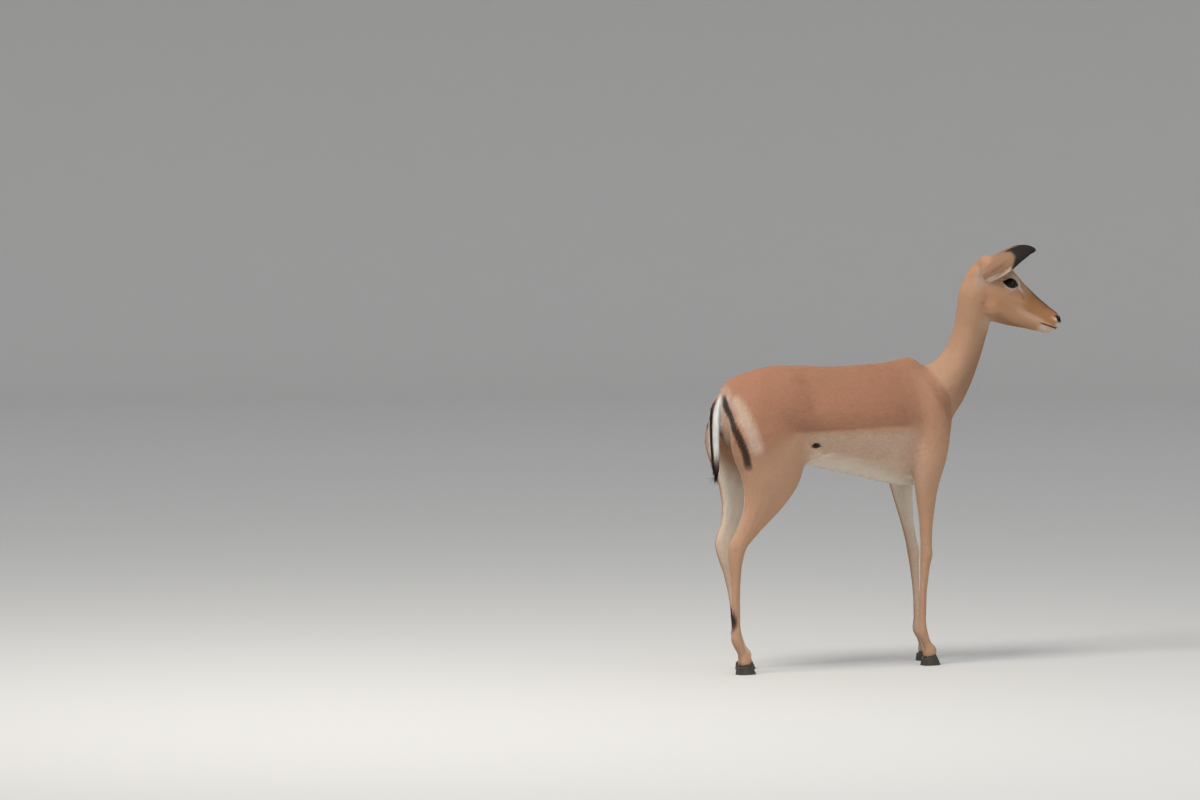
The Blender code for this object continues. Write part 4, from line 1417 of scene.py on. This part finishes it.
# %% Build the tufts
MIDDLE = 0.42  # how far along a tuft its middle section lies
SECTIONS = ((0.75, -0.5, -0.2), (1.0, -0.1, 0.7))  # shares of the width, and of the lift at edges and ridge
LIFT, TIP_HEIGHT = 0.045, 0.30
STRAY_SHARE, STRAY_RISE = 0.012, 0.8
ROUNDNESS, TIP_TILT = 0.42, 0.10
skin_tree = BVHTree.FromPolygons(skin_points.tolist(), skin_triangles.tolist())


def on_skin(places):
    """The nearest points of the skin, the way it faces there, and each mask's value."""
    hits = [skin_tree.find_nearest(place) for place in places.tolist()]
    corners = skin_triangles[[hit[2] for hit in hits]]
    found = np.array([hit[0] for hit in hits])
    return found, unit(skin_normals[corners].mean(1)), {name: masks[name][corners].mean(1) for name in MASKS}


def tuft_points(tufts):
    """Seven points for each tuft, the way each one faces, and the masks at its tip.

    The points are two sections of left, ridge and right, and a tip. Middle and tip are laid on the skin below
    them, so a tuft bends with the body. The points face nearly as the skin under them does, so that light
    runs over the coat as over one body. A few tufts stray upwards.
    """
    rng, n = tufts["rng"], len(tufts["root"])
    normal, length = tufts["normal"], tufts["length"][:, None]
    lie = unit(tufts["lie"] - normal * row_dot(tufts["lie"], normal))
    across = np.cross(normal, lie)
    lie = unit(lie + across * rng.normal(0, 0.10, (n, 1)))
    across = np.cross(normal, lie)
    width = widths_for(length) * rng.uniform(0.8, 1.2, (n, 1))
    lift = LIFT * rng.uniform(0.5, 1.3, (n, 1)) * length
    rise = np.where(rng.random((n, 1)) < STRAY_SHARE, STRAY_RISE, 0.0)
    straight = tufts["root"] + lie * length
    reached, facing_there, at_tip = on_skin(straight)
    halfway = on_skin(tufts["root"] * (1 - MIDDLE) + straight * MIDDLE)[0]
    stops = ((0.0, tufts["root"], normal), (MIDDLE, halfway, unit(normal + facing_there)))
    points, facing = np.zeros((n, 7, 3)), np.zeros((n, 7, 3))
    for k, ((t, middle, out), (share, edge, ridge)) in enumerate(zip(stops, SECTIONS)):
        half = across * (width * share / 2)
        points[:, 3 * k] = middle - half + out * ((edge + rise * t) * lift)
        points[:, 3 * k + 1] = middle + out * ((ridge + rise * t) * lift)
        points[:, 3 * k + 2] = middle + half + out * ((edge + rise * t) * lift)
        facing[:, 3 * k] = out - across * ROUNDNESS
        facing[:, 3 * k + 1] = out
        facing[:, 3 * k + 2] = out + across * ROUNDNESS
    loose = tufts["loose"][:, None]
    tip_out = facing_there * ((TIP_HEIGHT + rise) * lift)
    points[:, 6] = reached * (1 - loose) + straight * loose + tip_out
    facing[:, 6] = facing_there + lie * TIP_TILT
    return points, unit(facing), at_tip


TUFT_FACES = np.array(((0, 3, 4), (0, 4, 1), (1, 4, 5), (1, 5, 2), (3, 6, 4), (4, 6, 5)))
TUFT_MAP = np.array(((0, 0), (0.5, 0), (1, 0), (0, 0.6), (0.5, 0.6), (1, 0.6), (0.5, 1.0)))
TIP_SHARE = np.array((0, 0, 0, MIDDLE, MIDDLE, MIDDLE, 1.0))


def coat_piece(name, parts, side, seed):
    """One mesh of tufts, with its masks, its bake places and normals that follow the skin."""
    tufts = grow(parts, side, seed)
    n = len(tufts["root"])
    points, facing, at_tip = tuft_points(tufts)
    points = points.reshape(-1, 3)
    faces = (TUFT_FACES[None] + 7 * np.arange(n)[:, None, None]).reshape(-1, 3)
    mesh = bpy.data.meshes.new(name)
    mesh.vertices.add(len(points))
    mesh.vertices.foreach_set("co", points.ravel())
    mesh.loops.add(faces.size)
    mesh.loops.foreach_set("vertex_index", faces.ravel())
    mesh.polygons.add(len(faces))
    mesh.polygons.foreach_set("loop_start", np.arange(0, faces.size, 3))
    mesh.update(calc_edges=True)
    places = (bake_places(tufts)[:, None, :] + TUFT_MAP[None] * PATCH).reshape(-1, 2)
    mesh.uv_layers.new(name="OFBake").data.foreach_set("uv", places[faces.ravel()].ravel())
    for mask_name, at_root in tufts["masks"].items():
        values = at_root[:, None] * (1 - TIP_SHARE) + at_tip[mask_name][:, None] * TIP_SHARE
        add_values(mesh, mask_name, values.ravel())
    add_values(mesh, "strand", np.repeat(np.clip(tufts["rng"].normal(0.5, 0.2, n), 0, 1), 7))
    mesh.materials.append(hair)
    mesh.shade_smooth()
    mesh.normals_split_custom_set_from_vertices(facing.reshape(-1, 3).tolist())
    piece = mesh_object(name, mesh)
    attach(piece, "root")
    print(name, "has", n, "tufts in", len(faces), "triangles")


def parts_named(*words):
    return [k for k, name in enumerate(FLESH) if any(word in name for word in words)]


COAT_PIECES = (
    # name, the solids it covers, her left, right or both sides, material slot
    ("coat_trunk_left", ("trunk",), 1, "coat_saddle"),
    ("coat_trunk_right", ("trunk",), -1, "coat_saddle"),
    ("coat_neck", ("neck",), 0, "coat_fawn"),
    ("coat_head", ("head",), 0, "coat_fawn"),
    ("coat_ears", ("ear_",), 0, "coat_ear"),
    ("coat_tail", ("tail",), 0, "coat_tail"),
    ("coat_forelegs", ("foreleg",), 0, "coat_leg"),
    ("coat_hindleg_left", ("hindleg_left",), 0, "coat_leg"),
    ("coat_hindleg_right", ("hindleg_right",), 0, "coat_leg"),
)
for seed, (piece_name, words, half, slot) in enumerate(COAT_PIECES):
    coat_piece(piece_name, parts_named(*words), half, seed + 1)


# %% [markdown]
# ## Lashes and whiskers
#
# Long dark lashes shade the upper lid, and thin whiskers stand on the lips and chin. They are single hairs,
# too sparse to be tufts, so each is a thin three-sided spike that bends once.

# %% Single hairs
LASHES, LASH_LENGTH = 26, 0.0085
WHISKERS, WHISKER_LENGTH = 14, 0.012
HAIR_WIDTH = 0.00016


def spike(bm, root, way, bend, length):
    """A thin three-sided hair that leaves its root one way and bends to another."""
    side = unit(np.cross(way, bend) + np.array((0.0, 0.0, 0.001)))
    rings = []
    for t, width in ((0.0, 1.0), (0.5, 0.75)):
        at = root + way * (length * t) + bend * (length * t * t)
        normal = unit(np.cross(way, side))
        corners = [side, -side * 0.5 + normal * 0.87, -side * 0.5 - normal * 0.87]
        rings.append([bm.verts.new(at + corner * (HAIR_WIDTH * width)) for corner in corners])
    tip = bm.verts.new(root + way * length + bend * length)
    for k in range(3):
        after = (k + 1) % 3
        bm.faces.new((rings[0][k], rings[0][after], rings[1][after], rings[1][k]))
        bm.faces.new((rings[1][k], rings[1][after], tip))


def lashes_into(bm, side, rng):
    """A row along the upper lid's edge, fanned out towards the corners."""
    centre = eye_at[side]
    for k in range(LASHES):
        a = OPENING_LENGTH * (0.86 - 1.45 * k / LASHES)
        b = UPPER_LID * OPENING_HEIGHT * (1 - (a / OPENING_LENGTH) ** 2) ** LID_CURVE
        b = b - LID_DROOP * max(a, 0) + 0.0006
        du, dv = turned(a, b, -LID_TILT)
        u, v = OPENING_U + du - EYE_U, OPENING_V + dv - EYE_V
        reach = EYE_RADIUS + LID_THICKNESS
        w = math.sqrt(max(reach**2 - u * u - v * v, 1e-8))
        out = unit(head_forward * u + head_up * v + head_left * (side * w))
        way = unit(out + head_left * side * 0.6 + head_forward * (a * 8) + rng.normal(0, 0.05, 3))
        bend = -head_up * 0.25 + head_left * side * 0.05
        spike(bm, centre + out * (reach - 0.0008), way, bend, LASH_LENGTH * rng.uniform(0.75, 1.1))


def whiskers_into(bm, side, rng):
    """Scattered over lips and chin, each where a line from the side meets the skin."""
    for _ in range(WHISKERS):
        u, v = rng.uniform(0.186, 0.226), rng.uniform(-0.052, -0.018)
        start = from_head(u, v, side * 0.060)
        hit, normal, _, _ = skin_tree.ray_cast(start, -head_left * side)
        if hit is None:
            continue
        way = unit(np.array(normal) + head_left * side * 0.3 + rng.normal(0, 0.15, 3))
        bend = -head_forward * 0.35 - head_up * 0.15
        spike(bm, np.array(hit) - way * 0.0006, way, bend, WHISKER_LENGTH * rng.uniform(0.5, 1))


def single_hairs(name, builder, seed, colour):
    """One mesh of the hairs that a builder adds on both sides."""
    bm = bmesh.new()
    rng = np.random.default_rng(seed)
    for side in (1, -1):
        builder(bm, side, rng)
    mesh = bpy.data.meshes.new(name)
    bm.to_mesh(mesh)
    bm.free()
    mesh.shade_smooth()
    mesh.materials.append(paint(f"{name}_hair", colour, 0.45))
    made = mesh_object(name, mesh)
    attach(made, "root")
    print(name, "has", len(mesh.polygons), "faces")


single_hairs("eyelashes", lashes_into, 21, (0.012, 0.009, 0.008))
single_hairs("whiskers", whiskers_into, 22, (0.24, 0.18, 0.14))


# %% [markdown]
# ## Eyes
#
# The eye is large, round and nearly black, with a dark brown iris and a level slot for a pupil. A wet film
# makes it shine. The ball is a fine sphere in the socket's place, with a cornea that swells a little at the
# front. Iris and pupil are masks on its points, found from the distance to the line of sight.

# %% Eyeballs
GAZE_FORWARD = 0.42
IRIS_RADIUS, PUPIL_LENGTH, PUPIL_HEIGHT = 0.0105, 0.0062, 0.0030


def eye_material():
    material, tree, shader = new_material("eye_wet")
    brown = blend(tree, attribute(tree, "iris"), (0.006, 0.004, 0.003, 1), (0.014, 0.007, 0.004, 1))
    colour = blend(tree, attribute(tree, "pupil"), brown, (0.002, 0.002, 0.004, 1))
    tree.links.new(colour, shader.inputs["Base Color"])
    shader.inputs["Roughness"].default_value = 0.06
    shader.inputs["Specular IOR Level"].default_value = 0.17
    return material


def eyeball(side, node, material):
    """A ball in an eye's place, with its cornea, iris and pupil turned along its gaze."""
    bm = bmesh.new()
    bmesh.ops.create_uvsphere(bm, u_segments=72, v_segments=48, radius=EYE_RADIUS - 0.0003)
    mesh = bpy.data.meshes.new(f"eyeball_{node[4:]}")
    bm.to_mesh(mesh)
    bm.free()
    gaze = unit(head_left * side + head_forward * GAZE_FORWARD)
    top = unit(head_up - gaze * (head_up @ gaze))
    level_way = np.cross(top, gaze)
    points = points_of(mesh)
    forward, a, b = points @ gaze, points @ level_way, points @ top
    off = np.hypot(a, b)
    front = smooth_step(0.4 * EYE_RADIUS, 0.95 * EYE_RADIUS, forward)
    points = points + gaze * (0.0007 * front * np.exp(-((off / 0.010) ** 2)))[:, None]
    set_points(mesh, points + eye_at[side])
    in_front = forward > 0
    slot_place = np.hypot(a / PUPIL_LENGTH, b / PUPIL_HEIGHT)
    add_values(mesh, "iris", smooth_step(IRIS_RADIUS + 0.0008, IRIS_RADIUS - 0.0012, off) * in_front)
    add_values(mesh, "pupil", smooth_step(1.12, 0.90, slot_place) * in_front)
    mesh.materials.append(material)
    mesh.shade_smooth()
    ball = mesh_object(mesh.name, mesh)
    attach(ball, "root")
    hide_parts(node)


wet = eye_material()
for eye_side, eye_node in ((1, "eye_left"), (-1, "eye_right")):
    eyeball(eye_side, eye_node, wet)
print("eyeballs of radius", EYE_RADIUS)


# %% [markdown]
# ## Hooves
#
# A hoof is two claws of dark horn. The wall grows down from the hairline in faint rings and is polished by
# the ground. The claws of the solids are rounded off with a fine remesh and given rings and scratches in
# relief.

# %% Claws
CLAW_VOXEL, CLAW_THINNING = 0.0008, 0.30


def horn_material():
    material, tree, shader = new_material("horn")
    place = add_node(tree, "ShaderNodeTexCoord").outputs["Object"]
    ringed = {"Vector": place, "Scale": 95.0, "Distortion": 1.2, "Detail": 2.0}
    rings = add_node(tree, "ShaderNodeTexWave", ringed, bands_direction="Z").outputs["Fac"]
    grain = streak_noise(tree, place, np.array((0.35, 0.0, -0.94)), 0.012, 0.0007, 3.0)
    spots = {"Vector": place, "Scale": 90.0, "Detail": 3.0}
    worn = add_node(tree, "ShaderNodeTexNoise", spots).outputs["Fac"]
    shade = maths(tree, "MULTIPLY", maths(tree, "ADD", grain, worn), 0.5, clamp=True)
    colour = blend(tree, shade, (0.016, 0.012, 0.010, 1), (0.075, 0.058, 0.046, 1))
    tree.links.new(colour, shader.inputs["Base Color"])
    rough = maths(tree, "ADD", 0.30, maths(tree, "MULTIPLY", worn, 0.30))
    tree.links.new(rough, shader.inputs["Roughness"])
    height = maths(tree, "ADD", maths(tree, "MULTIPLY", rings, 0.6), maths(tree, "MULTIPLY", grain, 0.4))
    raised = {"Height": height, "Strength": 0.5, "Distance": 0.0005}
    tree.links.new(add_node(tree, "ShaderNodeBump", raised).outputs[0], shader.inputs["Normal"])
    return material


def claw_of(node, material):
    """A claw with its edges rounded off, in place of one hoof solid."""
    obj = mesh_object(f"claw_{node[5:]}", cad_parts[node].data.copy())
    obj.data.materials.clear()
    wrap = obj.modifiers.new("Wrap", "REMESH")
    wrap.mode = "VOXEL"
    wrap.voxel_size = CLAW_VOXEL
    smooth = obj.modifiers.new("Smooth", "SMOOTH")
    smooth.iterations = 5
    thin = obj.modifiers.new("Thin", "DECIMATE")
    thin.ratio = CLAW_THINNING
    mesh = baked(obj, f"claw_{node[5:]}")
    mesh.materials.append(material)
    mesh.shade_smooth()
    claw = mesh_object(mesh.name, mesh)
    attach(claw, "root")
    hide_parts(node)
    return len(mesh.polygons)


horn = horn_material()
print("claws of", [claw_of(node, horn) for node in HOOVES], "faces")
